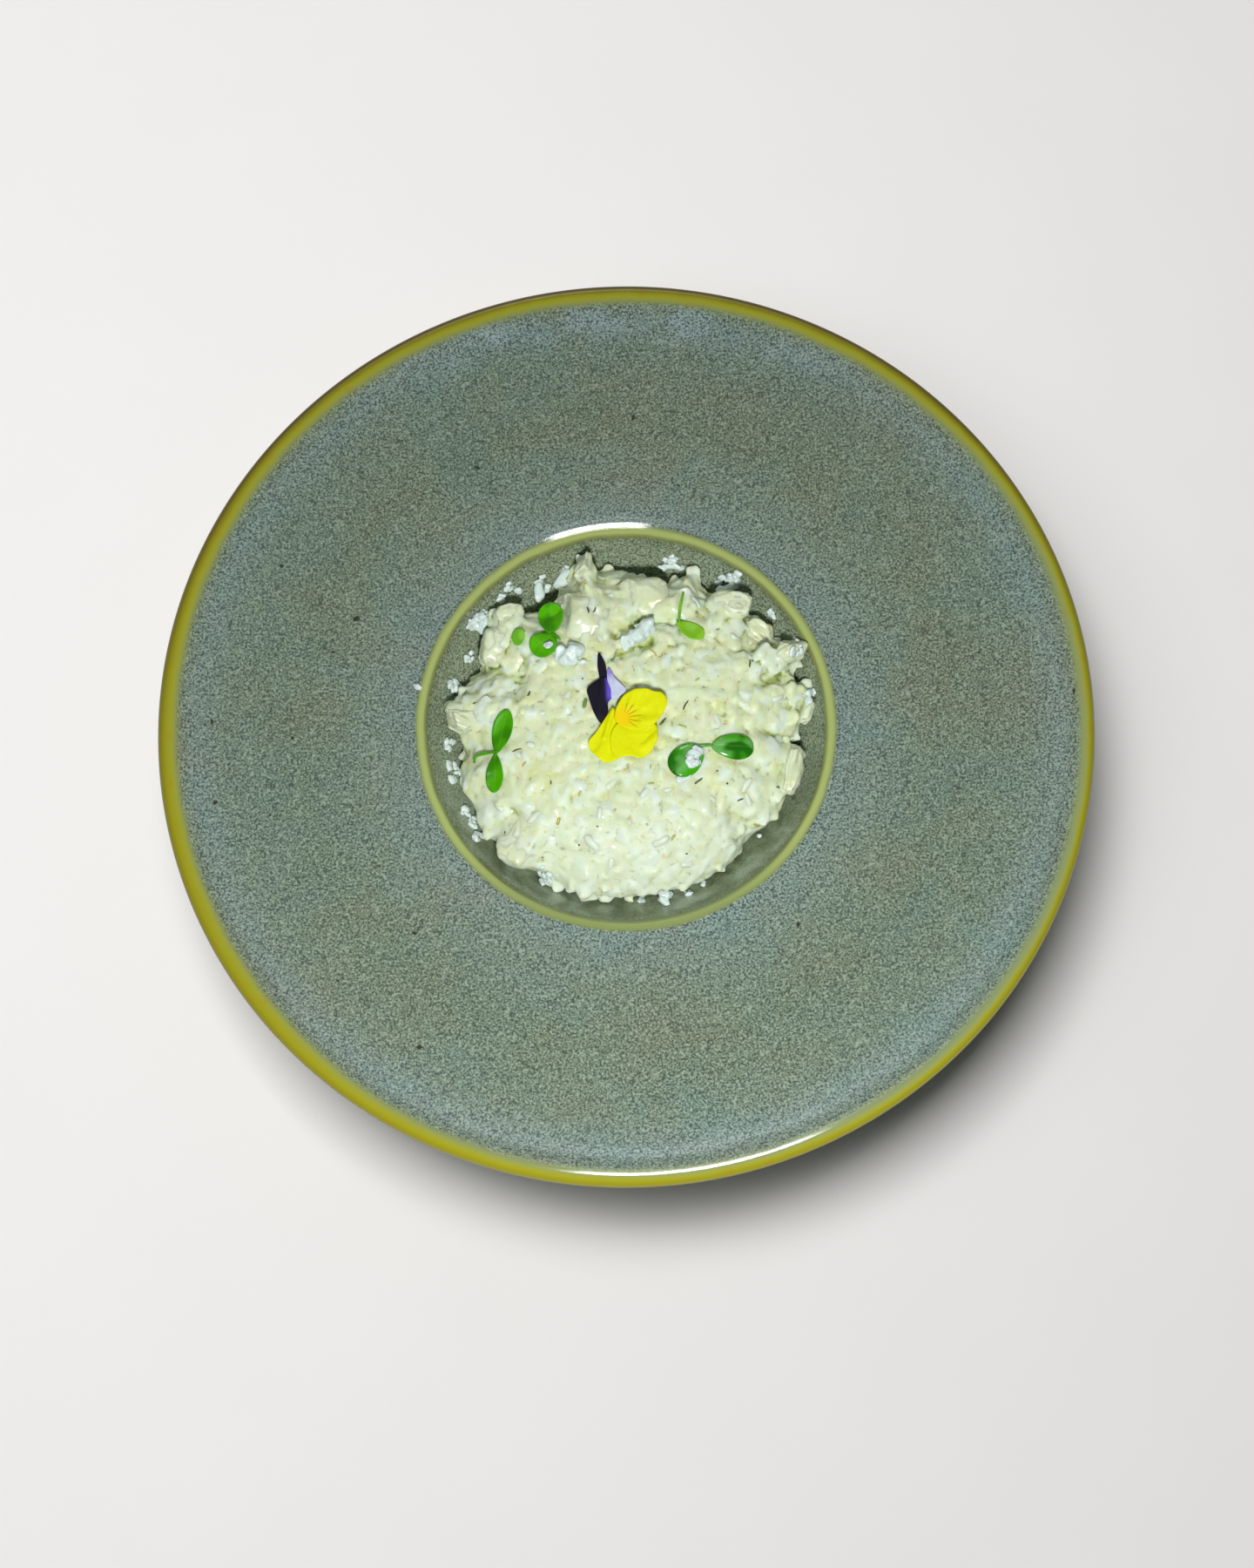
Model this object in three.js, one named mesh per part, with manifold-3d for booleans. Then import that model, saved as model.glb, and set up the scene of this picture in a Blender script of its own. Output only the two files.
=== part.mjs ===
// Plate of chicken risotto: a wide-rimmed stoneware plate with a small deep well,
// filled with a loose heap of creamy rice, pieces of chicken and crumbled white
// cheese, and topped with four green sprigs and one viola.
// Millimetres, +Z up. The origin is on the plate's axis, at the foot.
// +X is the eater's right and -Y is the side nearest to the eater.
import * as THREE from 'three';
import { mergeVertices } from 'three/addons/utils/BufferGeometryUtils.js';
import Module from 'manifold-3d';

const wasm = await Module();
wasm.setup();

// ---- driving dimensions -------------------------------------------------

const GAP = 0.35;             // clearance kept between two pieces that touch
const RANDOM_SEED = 20417;

const PLATE = {
  radius: 140,                // out to the widest point of the lip
  lipHeight: 38.5,            // height of that widest point
  lipThickness: 4.6,
  lipBulge: 0.5,              // how far the lip stands above the rim inside it
  ringRadius: 62.2,           // crest of the edge round the well
  ringHeight: 31.5,
  floorHeight: 7,
  floorRadius: 31,
  thickness: 4.8,
  footRadius: 47,
  footWidth: 5,
  footRise: 2.4,              // the underside inside the foot is this high
  segments: 64,
};

const HEAP = {
  centre: [0.5, 0.2],
  halfWidth: 53,
  halfDepth: 51.5,
  peak: 38.4,                 // height of the smooth top in the middle
  edgeHeight: 2.4,            // how tall the heap starts at its outline
  flatness: 3.6,
  shoulder: 0.6,
  sectors: 56,
  topRings: 14,
  bottomRings: 4,
  bedGap: 0.6,                // core to plate, more than GAP so that grains may reach lower
};

// Where the outline reaches out (+) or falls back (-), by angle from +X.
const EDGE_LOBES = [
  { angle: 10, reach: 3.4, spread: 3.5 },
  { angle: 23, reach: 4.0, spread: 5 },
  { angle: 47.5, reach: 4.2, spread: 3 },
  { angle: 58, reach: -3.0, spread: 4 },
  { angle: 66, reach: 2.2, spread: 3 },
  { angle: 78, reach: -3.4, spread: 6 },
  { angle: 103.5, reach: 5.0, spread: 3 },
  { angle: 121, reach: -4.6, spread: 9 },
  { angle: 137, reach: 3.2, spread: 4.5 },
  { angle: 155, reach: -3.4, spread: 6 },
  { angle: 172, reach: 3.0, spread: 4 },
  { angle: 186, reach: -2.6, spread: 6 },
  { angle: 199, reach: 1.4, spread: 3 },
  { angle: 230, reach: 2.2, spread: 3 },
  { angle: 254, reach: 1.8, spread: 6 },
  { angle: 316, reach: -3.0, spread: 6 },
  { angle: 354, reach: -3.6, spread: 3 },
];

// Raised bands (+) and creases (-) in the top: straight soft-sided strips.
const RELIEF = [
  { from: [-12, 41], to: [14, 38], width: 8, height: 1.3 },
  { from: [14, 38], to: [36, 33], width: 6, height: 1.1 },
  { from: [16, 30.5], to: [5, 31.5], width: 2.4, height: -3.0 },
  { from: [5, 31.5], to: [-2, 27], width: 2.2, height: -2.4 },
  { from: [8, 24.5], to: [-3, 19.5], width: 2.2, height: -2.0 },
  { from: [-31, 20], to: [-33, 10], width: 2.4, height: -1.8 },
  { from: [-34, -26], to: [-43, -29], width: 2.6, height: -2.0 },
  { from: [-24, -37], to: [-12, -38], width: 2.6, height: -1.0 },
  { from: [-3, -20], to: [-7, -25], width: 2.4, height: -1.0 },
  { from: [42, 11], to: [47, 15], width: 2.4, height: -1.6 },
  { from: [35, -15], to: [45, -16], width: 2.4, height: -1.2 },
  { from: [-32, -34], to: [-28, -38], width: 8, height: 1.0 },
  { from: [4, -34], to: [22, -30], width: 9, height: 0.9 },
  { from: [20, 8], to: [32, 14], width: 9, height: 0.8 },
];

const GRAIN = { length: 7, thickness: 3 };
const BUMPS = { count: 330, height: 0.75, length: 7, width: 3.4 };
const FUSED_GRAINS = { count: 64, sunk: 0.3, tilt: 0.35 };

const LUMP = { around: 10, along: 6 };      // facets of a piece of chicken or cheese

// Chicken: the pieces that stand out of the heap. size is length, width, height;
// rise is the part of the height that shows; turn and tilt are in degrees.
const CHICKEN = [
  { at: [7.5, 39.5], size: [17, 12.5, 7], turn: -8, tilt: 8, rise: 0.45, square: 3.2 },
  { at: [-11.5, 49.5], size: [10, 7, 8], turn: 80, tilt: 0, rise: 0.62, square: 2.6 },
  { at: [-13, 33], size: [21, 16, 9], turn: -24, tilt: 4, rise: 0.3, square: 2.5 },
  { at: [33, 36.5], size: [14, 9, 8], turn: -12, tilt: -6, rise: 0.5, square: 4 },
  { at: [41.5, 27.5], size: [11, 8, 7], turn: -38, tilt: 0, rise: 0.42, square: 3 },
  { at: [50, 21.5], size: [9.5, 7.5, 8], turn: 20, tilt: 0, rise: 0.55, square: 2.4 },
  { at: [49.5, -14.5], size: [15.5, 7, 6.5], turn: 80, tilt: 0, rise: 0.6, square: 2.8 },
  { at: [-38.5, 26.5], size: [14, 11, 8], turn: 70, tilt: 0, rise: 0.34, square: 2.5 },
  { at: [-49, 4], size: [11, 9, 7.5], turn: -20, tilt: 0, rise: 0.5, square: 2.4 },
  { at: [-32, -35], size: [16, 13, 8], turn: 50, tilt: 0, rise: 0.28, square: 2.4 },
  { at: [-35, 36.5], size: [9, 6, 6], turn: 15, tilt: 0, rise: 0.62, square: 2.6 },
  { at: [55, 5], size: [9, 4.5, 5], turn: 72, tilt: 0, rise: 0.6, square: 3 },
];

// Cheese: lumps as large as a berry. rise below zero lies on the plate's wall.
const CHEESE = [
  { at: [-16.5, 20.5], size: [9.5, 8, 5], turn: 15, rise: 0.5 },
  { at: [4, 26.5], size: [14, 6, 5.5], turn: 38, rise: 0.5 },
  { at: [-21.5, 48.5], size: [13, 4.6, 4.6], turn: 24, rise: -1 },
  { at: [-43, 35], size: [7, 6.5, 4], turn: 40, rise: -1 },
  { at: [15, 52], size: [8, 3, 3], turn: 3, rise: -1 },
  { at: [33, 44.5], size: [8, 3.4, 3.6], turn: 12, rise: -1 },
  { at: [9.8, -52.5], size: [4.6, 3.6, 3.6], turn: 80, rise: -1 },
];

// Leaves are stiff: from furthest outwards they don't follow the heap down its edge.
const BLADE = { thickness: 0.5, sides: 14, rings: [0.55, 1], furthest: 0.87 };
const STEM_RADIUS = 0.42;
const CALM = { within: 3.4, beyond: 7 };     // the heap is smooth this near to a sprig or petal

// A blade is a leaf or petal from its base to its tip, on the smooth heap.
// widest is where along its length it is broadest, blunt rounds its ends.
const SPRIGS = {
  sprig_top_left: {
    colour: '#3f8f10',
    stem: [[-21.8, 28], [-19.2, 25.6]],
    blades: [
      { base: [-22, 27.6], tip: [-22, 39.8], width: 7.8, widest: 0.58, blunt: 0.55, cup: 0.9 },
      { base: [-21.8, 28], tip: [-26.4, 20.4], width: 8.6, widest: 0.55, blunt: 0.5, cup: 0.7 },
    ],
  },
  sprig_top_right: {
    colour: '#6fb41c',
    stem: [[18.6, 40.2], [17.3, 34], [17, 29.6]],
    blades: [
      { base: [16.2, 30.2], tip: [24.2, 24.6], width: 5.4, widest: 0.6, blunt: 0.6, cup: 0.5 },
    ],
  },
  sprig_left: {
    colour: '#3c8a0e',
    stem: [[-46, -11], [-45, -8.8], [-39.4, -8.4], [-38.6, -8.6]],
    blades: [
      { base: [-39, -9], tip: [-35.6, 4], width: 6.2, widest: 0.55, blunt: 0.7, cup: 0.8 },
      { base: [-39.4, -8.4], tip: [-40, -20.6], width: 5.4, widest: 0.6, blunt: 0.6, cup: 0.6 },
    ],
  },
  sprig_right: {
    colour: '#4a9428',
    stem: [[21.4, -9.6], [25.8, -9.4]],
    blades: [
      { base: [25.2, -9.6], tip: [38, -9.8], width: 7.9, widest: 0.55, blunt: 0.5, cup: -0.9 },
      { base: [22.4, -10], tip: [13, -17.2], width: 9.4, widest: 0.55, blunt: 0.5, cup: -0.9 },
    ],
  },
  sprig_bit: {
    colour: '#78b93c',
    stem: [],
    blades: [
      { base: [-31.6, 30], tip: [-32, 24.6], width: 4.2, widest: 0.5, blunt: 0.5, cup: 0.3 },
    ],
  },
};

// The viola lies folded over: layer is how many petals lie under this one.
const PETALS = {
  viola_purple_narrow: {
    colour: '#14121c', layer: 0,
    base: [-6.7, 13.6], tip: [-7.5, 20.6], width: 2.7, widest: 0.4, blunt: 0.8, cup: 0.2,
  },
  viola_purple_wide: {
    colour: '#110f18', layer: 0,
    base: [-7, -0.4], tip: [-7.4, 12.9], width: 7.2, widest: 0.66, blunt: 0.75, cup: 0.4,
  },
  viola_lavender: {
    colour: '#a9b2cc', layer: 1,
    base: [-2.6, 6.2], tip: [-4.8, 15.4], width: 5.4, widest: 0.45, blunt: 0.8, cup: 0.3,
  },
  viola_yellow_side: {
    colour: '#e8e00c', layer: 1,
    base: [-3.4, 2.4], tip: [-8, -13.4], width: 9, widest: 0.62, blunt: 0.55, cup: 0.5,
  },
  viola_yellow_lower: {
    colour: '#e9e10a', layer: 2,
    base: [1.8, 0.6], tip: [4, -13.1], width: 13, widest: 0.6, blunt: 0.45, cup: 0.5,
  },
  viola_yellow_upper: {
    colour: '#ece60c', layer: 3,
    base: [-4, -0.6], tip: [12.2, 4.8], width: 11.6, widest: 0.56, blunt: 0.48, cup: 0.6,
  },
};
const PETAL_STEP = 0.9;       // one petal's thickness and the gap over it

// ---- small tools --------------------------------------------------------

const radians = (degrees) => degrees * Math.PI / 180;
const mix = (a, b, t) => a + (b - a) * t;

function makeRandom(seed) {
  let state = seed >>> 0;
  return () => {
    state = (state + 0x6d2b79f5) >>> 0;
    let t = state;
    t = Math.imul(t ^ (t >>> 15), t | 1);
    t ^= t + Math.imul(t ^ (t >>> 7), t | 61);
    return ((t ^ (t >>> 14)) >>> 0) / 4294967296;
  };
}

function smoothStep(edge0, edge1, x) {
  const t = Math.min(1, Math.max(0, (x - edge0) / (edge1 - edge0)));
  return t * t * (3 - 2 * t);
}

function toSolid(geometry) {
  const bare = geometry.index ? geometry.toNonIndexed() : geometry.clone();
  bare.deleteAttribute('normal');
  bare.deleteAttribute('uv');
  const merged = mergeVertices(bare, 1e-4);
  const vertProperties = new Float32Array(merged.attributes.position.array);
  const triVerts = new Uint32Array(merged.index.array);
  return new wasm.Manifold(new wasm.Mesh({ numProp: 3, vertProperties, triVerts }));
}

function toGeometry(solid) {
  const mesh = solid.getMesh();
  const geometry = new THREE.BufferGeometry();
  const positions = new Float32Array(mesh.vertProperties);
  geometry.setAttribute('position', new THREE.BufferAttribute(positions, 3));
  geometry.setIndex(new THREE.BufferAttribute(new Uint32Array(mesh.triVerts), 1));
  geometry.computeVertexNormals();
  return geometry;
}

// The largest body of a solid: cutting can leave loose scraps.
function largestBody(solid) {
  const bodies = solid.decompose();
  return bodies.reduce((best, body) => (body.volume() > best.volume() ? body : best));
}

function meshFrom(vertices, triangles) {
  const geometry = new THREE.BufferGeometry();
  geometry.setAttribute('position', new THREE.Float32BufferAttribute(vertices.flat(), 3));
  geometry.setIndex(triangles.flat());
  return geometry;
}

// ---- plate --------------------------------------------------------------

// The upper face from the middle of the floor out to the lip, as [radius, height].
function plateTopCurve() {
  const { ringRadius: ring, ringHeight, floorRadius: floor, floorHeight: low, radius, lipHeight } = PLATE;
  const lipTop = lipHeight + PLATE.lipThickness / 2;
  const anchors = [
    [0, low],
    [floor * 0.7, low + 0.2],
    [floor, low + 1.2],
    [41, 10.6],
    [49, 16.2],
    [55.5, 23.2],
    [ring - 1.6, ringHeight - 1.2],
    [ring, ringHeight],
    [ring + 2.4, ringHeight - 0.4],
    [ring + 8, ringHeight - 0.6],
    [ring + 30, ringHeight + 0.9],
    [115, ringHeight + 3],
    [129, ringHeight + 5.3],
    [radius - 5.6, lipTop - PLATE.lipBulge - 0.9],
  ];
  return anchors.map(([r, z]) => new THREE.Vector2(r, z));
}

// The underside runs at an even thickness below the upper face, at every second
// point, then down the foot.
function plateUnderCurve(top) {
  const under = [];
  for (let i = top.length - 1; i > 0; i -= 2) {
    const ahead = top[Math.min(i + 1, top.length - 1)];
    const behind = top[i - 1];
    const slope = new THREE.Vector2().subVectors(ahead, behind).normalize();
    const point = new THREE.Vector2(top[i].x + slope.y * PLATE.thickness, top[i].y - slope.x * PLATE.thickness);
    const outsideFoot = point.x > PLATE.footRadius + 2 && point.y > PLATE.footRise + 1;
    const nearRing = Math.abs(top[i].x - PLATE.ringRadius) < 2;
    if (outsideFoot && !nearRing) under.push(point);
  }
  const { footRadius: foot, footWidth, footRise } = PLATE;
  under.push(new THREE.Vector2(foot + 0.6, footRise + 1));
  under.push(new THREE.Vector2(foot, 0));
  under.push(new THREE.Vector2(foot - footWidth, 0));
  under.push(new THREE.Vector2(foot - footWidth - 0.8, footRise));
  under.push(new THREE.Vector2(0, footRise));
  return under;
}

function lipCurve() {
  const { radius, lipHeight, lipThickness } = PLATE;
  const half = lipThickness / 2;
  return [120, 60, 0, -75].map((degrees) => {
    const angle = radians(degrees);
    return new THREE.Vector2(radius - half + half * Math.cos(angle), lipHeight + half * Math.sin(angle));
  });
}

// A lathe turns about Y, so its geometry is stood up along +Z.
function upright(geometry) {
  return geometry.rotateX(Math.PI / 2);
}

function buildPlate() {
  const top = plateTopCurve();
  const profile = [...plateUnderCurve(top).reverse(), ...lipCurve().reverse(), ...top.reverse()];
  return upright(new THREE.LatheGeometry(profile, PLATE.segments));
}

// Height of the plate's upper face at a radius, on the same straight facets.
const PLATE_TOP = plateTopCurve();
function wellHeight(radius) {
  const outer = PLATE_TOP.findIndex((point) => point.x > radius);
  if (outer < 1) return PLATE_TOP[0].y;
  const a = PLATE_TOP[outer - 1];
  const b = PLATE_TOP[outer];
  return mix(a.y, b.y, (radius - a.x) / (b.x - a.x));
}

// The space above the plate, one clearance inside its upper face.
function buildRoom() {
  const ceiling = 70;
  const wall = PLATE_TOP.map((point) => new THREE.Vector2(point.x, point.y + GAP * 1.5));
  const last = wall[wall.length - 1];
  const profile = [...wall, new THREE.Vector2(last.x, ceiling), new THREE.Vector2(0, ceiling)];
  return toSolid(upright(new THREE.LatheGeometry(profile, PLATE.segments)));
}

// ---- heap of risotto ----------------------------------------------------

function heapReach(angle) {
  const base = HEAP.halfWidth * HEAP.halfDepth
    / Math.hypot(HEAP.halfDepth * Math.cos(angle), HEAP.halfWidth * Math.sin(angle));
  return EDGE_LOBES.reduce((reach, lobe) => {
    const turn = Math.atan2(Math.sin(angle - radians(lobe.angle)), Math.cos(angle - radians(lobe.angle)));
    return reach + lobe.reach * Math.exp(-((turn / radians(lobe.spread)) ** 2));
  }, base);
}

// The heap without creases or grains: a flat dome with a steep edge. Past the
// furthest fraction of the way out it goes on level.
function domeHeight(x, y, furthest = 1) {
  const dx = x - HEAP.centre[0];
  const dy = y - HEAP.centre[1];
  const angle = Math.atan2(dy, dx);
  const reach = heapReach(angle);
  const out = Math.min(furthest, Math.hypot(dx, dy) / reach);
  const edgeX = HEAP.centre[0] + reach * Math.cos(angle);
  const edgeY = HEAP.centre[1] + reach * Math.sin(angle);
  const foot = wellHeight(Math.hypot(edgeX, edgeY)) + HEAP.bedGap + HEAP.edgeHeight;
  return foot + (HEAP.peak - foot) * (1 - out ** HEAP.flatness) ** HEAP.shoulder;
}

function reliefHeight(x, y) {
  return RELIEF.reduce((sum, { from, to, width, height }) => {
    const run = [to[0] - from[0], to[1] - from[1]];
    const along = ((x - from[0]) * run[0] + (y - from[1]) * run[1]) / (run[0] ** 2 + run[1] ** 2);
    const nearest = Math.min(1, Math.max(0, along));
    const distance = Math.hypot(x - from[0] - run[0] * nearest, y - from[1] - run[1] * nearest);
    return sum + height * Math.exp(-((distance / width) ** 2));
  }, 0);
}

// Places spread evenly over the heap: a sunflower spiral, jittered.
function spreadOverHeap(count, random, inset = 0) {
  const goldenAngle = Math.PI * (3 - Math.sqrt(5));
  return Array.from({ length: count }, (_, i) => {
    const angle = i * goldenAngle + 0.3 * random();
    const out = Math.sqrt((i + 0.5 + 0.4 * random()) / (count + 0.5));
    const radius = out * (heapReach(angle) - inset);
    return {
      x: HEAP.centre[0] + radius * Math.cos(angle),
      y: HEAP.centre[1] + radius * Math.sin(angle),
      turn: random() * Math.PI,
      tilt: (random() * 2 - 1) * FUSED_GRAINS.tilt,
      size: 0.85 + 0.3 * random(),
    };
  });
}

// Grain-sized bumps, as long soft mounds.
const BUMP_PLACES = spreadOverHeap(BUMPS.count, makeRandom(RANDOM_SEED), 2);
function bumpHeight(x, y) {
  let highest = 0;
  for (const bump of BUMP_PLACES) {
    const dx = x - bump.x;
    const dy = y - bump.y;
    const along = dx * Math.cos(bump.turn) + dy * Math.sin(bump.turn);
    const across = dy * Math.cos(bump.turn) - dx * Math.sin(bump.turn);
    const q = (2 * along / BUMPS.length) ** 2 + (2 * across / BUMPS.width) ** 2;
    if (q < 1) highest = Math.max(highest, bump.size * BUMPS.height * (1 - q));
  }
  return highest;
}

// 0 under a sprig or petal and 1 well clear of them all.
function calmFactor(x, y) {
  return restingStrips().reduce((factor, blade) => {
    const { along, across, length } = bladePlace(blade, x, y);
    const past = Math.max(0, -along, along - length);
    const beside = Math.max(0, Math.abs(across) - blade.width / 2);
    return Math.min(factor, smoothStep(CALM.within, CALM.beyond, Math.hypot(past, beside)));
  }, 1);
}

function heapHeight(x, y) {
  return domeHeight(x, y) + calmFactor(x, y) * (reliefHeight(x, y) + bumpHeight(x, y));
}

function buildCore() {
  const { sectors, topRings, bottomRings, centre } = HEAP;
  const vertices = [];
  const triangles = [];
  const addRing = (fraction, heightAt) => {
    const start = vertices.length;
    for (let j = 0; j < sectors; j += 1) {
      const angle = 2 * Math.PI * j / sectors;
      const x = centre[0] + fraction * heapReach(angle) * Math.cos(angle);
      const y = centre[1] + fraction * heapReach(angle) * Math.sin(angle);
      vertices.push([x, y, heightAt(x, y)]);
    }
    return start;
  };
  const bridge = (inner, outer, facingUp) => {
    for (let j = 0; j < sectors; j += 1) {
      const k = (j + 1) % sectors;
      const quad = [[inner + j, outer + j, outer + k], [inner + j, outer + k, inner + k]];
      triangles.push(...(facingUp ? quad : quad.map((t) => [t[0], t[2], t[1]])));
    }
  };
  const fan = (middle, ring, facingUp) => {
    for (let j = 0; j < sectors; j += 1) {
      const k = (j + 1) % sectors;
      triangles.push(facingUp ? [middle, ring + j, ring + k] : [middle, ring + k, ring + j]);
    }
  };
  const bedHeight = (x, y) => wellHeight(Math.hypot(x, y)) + HEAP.bedGap;
  const topFraction = (i) => 1 - (1 - i / topRings) ** 1.12;

  vertices.push([...centre, heapHeight(...centre)]);
  let ring = addRing(topFraction(1), heapHeight);
  fan(0, ring, true);
  for (let i = 2; i <= topRings; i += 1) {
    const next = addRing(topFraction(i), heapHeight);
    bridge(ring, next, true);
    ring = next;
  }
  for (let i = bottomRings; i >= 1; i -= 1) {
    const next = addRing(i / bottomRings, bedHeight);
    bridge(ring, next, true);
    ring = next;
  }
  vertices.push([...centre, bedHeight(...centre)]);
  fan(vertices.length - 1, ring, false);
  return toSolid(meshFrom(vertices, triangles));
}

function grainSolid({ x, y, turn, tilt, size }) {
  const geometry = new THREE.SphereGeometry(0.5, 5, 4);
  geometry.rotateZ(Math.PI / 2);
  geometry.scale(GRAIN.length * size, GRAIN.thickness, GRAIN.thickness);
  geometry.rotateY(tilt);
  geometry.rotateZ(turn);
  geometry.translate(x, y, domeHeight(x, y) + reliefHeight(x, y) + GRAIN.thickness * (0.5 - FUSED_GRAINS.sunk));
  return toSolid(geometry);
}

// The core with grains fused on, fitted round the toppings.
function buildRisotto(toppings, room) {
  const keepOut = toppings.map((topping) => topping.grown);
  const sunkIn = toppings.filter((topping) => topping.sunk).map((topping) => topping.grown);
  const core = sunkIn.reduce((body, grown) => body.subtract(grown), buildCore());
  const places = spreadOverHeap(FUSED_GRAINS.count, makeRandom(RANDOM_SEED + 1), 1);
  places.sort((a, b) => b.size - a.size);
  const grains = places.map(grainSolid).map((grain) => grain.intersect(room));
  const clear = grains.filter((grain) => keepOut.every((grown) => grain.intersect(grown).isEmpty()));
  return largestBody(clear.reduce((body, grain) => body.add(grain), core));
}

// ---- chicken and cheese -------------------------------------------------

// A lump: a rounded block with torn, uneven sides. grow widens it all round.
function lumpGeometry({ size, turn, tilt = 0, square = 2.4 }, seed, grow = 0) {
  const geometry = new THREE.SphereGeometry(1, LUMP.around, LUMP.along);
  const position = geometry.attributes.position;
  const random = makeRandom(RANDOM_SEED + 97 * seed);
  const phase = [random() * 6, random() * 6, random() * 6];
  const point = new THREE.Vector3();
  for (let i = 0; i < position.count; i += 1) {
    point.fromBufferAttribute(position, i);
    const norm = Math.abs(point.x) ** square + Math.abs(point.y) ** square + Math.abs(point.z) ** square;
    const fibres = 0.07 * Math.sin(5.5 * point.y + 3 * point.z + phase[0]);
    const lumps = 0.09 * Math.sin(3.1 * point.x + phase[1]) * Math.cos(2.7 * point.y + phase[2]);
    point.multiplyScalar(norm ** (-1 / square) * (1 + fibres + lumps));
    position.setXYZ(
      i,
      point.x * (size[0] / 2 + grow),
      point.y * (size[1] / 2 + grow),
      point.z * (size[2] / 2 + grow),
    );
  }
  geometry.rotateY(radians(tilt));
  geometry.rotateZ(radians(turn));
  return geometry;
}

// Height of a lump's middle, set into the heap or resting on the plate's wall.
function lumpHeight({ at, size, rise }) {
  const [x, y] = at;
  if (rise < 0) return wellHeight(Math.hypot(x, y)) + size[2] * 0.42;
  return domeHeight(x, y) + reliefHeight(x, y) + size[2] * (rise - 0.5);
}

function buildLumps(list, prefix, colour, roughness, seed, room, before) {
  const toppings = [];
  list.forEach((lump, index) => {
    const place = (grow) => {
      const geometry = lumpGeometry(lump, seed + index, grow);
      geometry.translate(...lump.at, lumpHeight(lump));
      return toSolid(geometry);
    };
    const earlier = [...before, ...toppings];
    const fitted = earlier.reduce((body, other) => body.subtract(other.grown), place(0));
    toppings.push({
      name: `${prefix}_${index + 1}`,
      colour,
      roughness,
      sunk: true,
      solid: largestBody(fitted.intersect(room)),
      grown: place(GAP * 1.3),
    });
  });
  return toppings;
}

// ---- sprigs and petals --------------------------------------------------

// Everything thin that rests on the heap, as strips from a base to a tip.
function restingStrips() {
  const sprigs = Object.values(SPRIGS);
  const leaves = sprigs.flatMap((sprig) => sprig.blades);
  const stems = sprigs.flatMap(({ stem }) => (
    stem.slice(1).map((tip, i) => ({ base: stem[i], tip, width: 2 * STEM_RADIUS }))
  ));
  return [...leaves, ...stems, ...Object.values(PETALS)];
}

function bladePlace({ base, tip }, x, y) {
  const length = Math.hypot(tip[0] - base[0], tip[1] - base[1]);
  const direction = [(tip[0] - base[0]) / length, (tip[1] - base[1]) / length];
  const along = (x - base[0]) * direction[0] + (y - base[1]) * direction[1];
  const across = (y - base[1]) * direction[0] - (x - base[0]) * direction[1];
  return { along, across, length, direction };
}

// The blade's outline: pointed or blunt at both ends, broadest at widest.
function bladeOutline(blade, grow) {
  const { length, direction } = bladePlace(blade, 0, 0);
  const { sides } = BLADE;
  const stretch = Math.log(0.5) / Math.log(blade.widest);
  return Array.from({ length: sides }, (_, k) => {
    const angle = 2 * Math.PI * k / sides;
    const u = (1 - Math.cos(angle)) / 2;
    const half = blade.width / 2 * Math.sin(Math.PI * u ** stretch) ** blade.blunt;
    const along = u * length + grow * (2 * u - 1);
    const across = -Math.sign(Math.sin(angle)) * (u > 0 && u < 1 ? half + grow : 0);
    return [
      blade.base[0] + direction[0] * along - direction[1] * across,
      blade.base[1] + direction[1] * along + direction[0] * across,
    ];
  });
}

// A thin wavy solid whose lower face rests just over the smooth heap.
function bladeSolid(blade, layer, grow = 0) {
  const outline = bladeOutline(blade, grow);
  const middle = [mix(blade.base[0], blade.tip[0], 0.5), mix(blade.base[1], blade.tip[1], 0.5)];
  const lift = GAP * 1.4 + layer * PETAL_STEP;
  const heightAt = (x, y) => {
    const { along, across, length } = bladePlace(blade, x, y);
    const side = 2 * across / blade.width;
    const wave = 0.12 * Math.sin(9 * along / length) * side;
    const arch = Math.sin(Math.PI * Math.min(1, Math.max(0, along / length)));
    const cup = blade.cup > 0 ? blade.cup * side * side : -blade.cup * (1 - side * side) * arch;
    return domeHeight(x, y, BLADE.furthest) + lift + Math.max(0, cup + wave);
  };
  const vertices = [];
  const triangles = [];
  const face = (offset, facingUp) => {
    const start = vertices.length;
    vertices.push([...middle, heightAt(...middle) + offset]);
    BLADE.rings.forEach((fraction) => {
      outline.forEach(([x, y]) => {
        const px = mix(middle[0], x, fraction);
        const py = mix(middle[1], y, fraction);
        vertices.push([px, py, heightAt(px, py) + offset]);
      });
    });
    for (let k = 0; k < outline.length; k += 1) {
      const n = (k + 1) % outline.length;
      const add = (a, b, c) => triangles.push(facingUp ? [a, b, c] : [a, c, b]);
      const inner = start + 1;
      const outer = inner + outline.length;
      add(start, inner + k, inner + n);
      add(inner + k, outer + k, outer + n);
      add(inner + k, outer + n, inner + n);
    }
    return start + 1 + outline.length * (BLADE.rings.length - 1);
  };
  const under = face(-grow, false);
  const over = face(BLADE.thickness + grow, true);
  for (let k = 0; k < outline.length; k += 1) {
    const n = (k + 1) % outline.length;
    triangles.push([under + k, under + n, over + n], [under + k, over + n, over + k]);
  }
  return toSolid(meshFrom(vertices, triangles));
}

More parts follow.
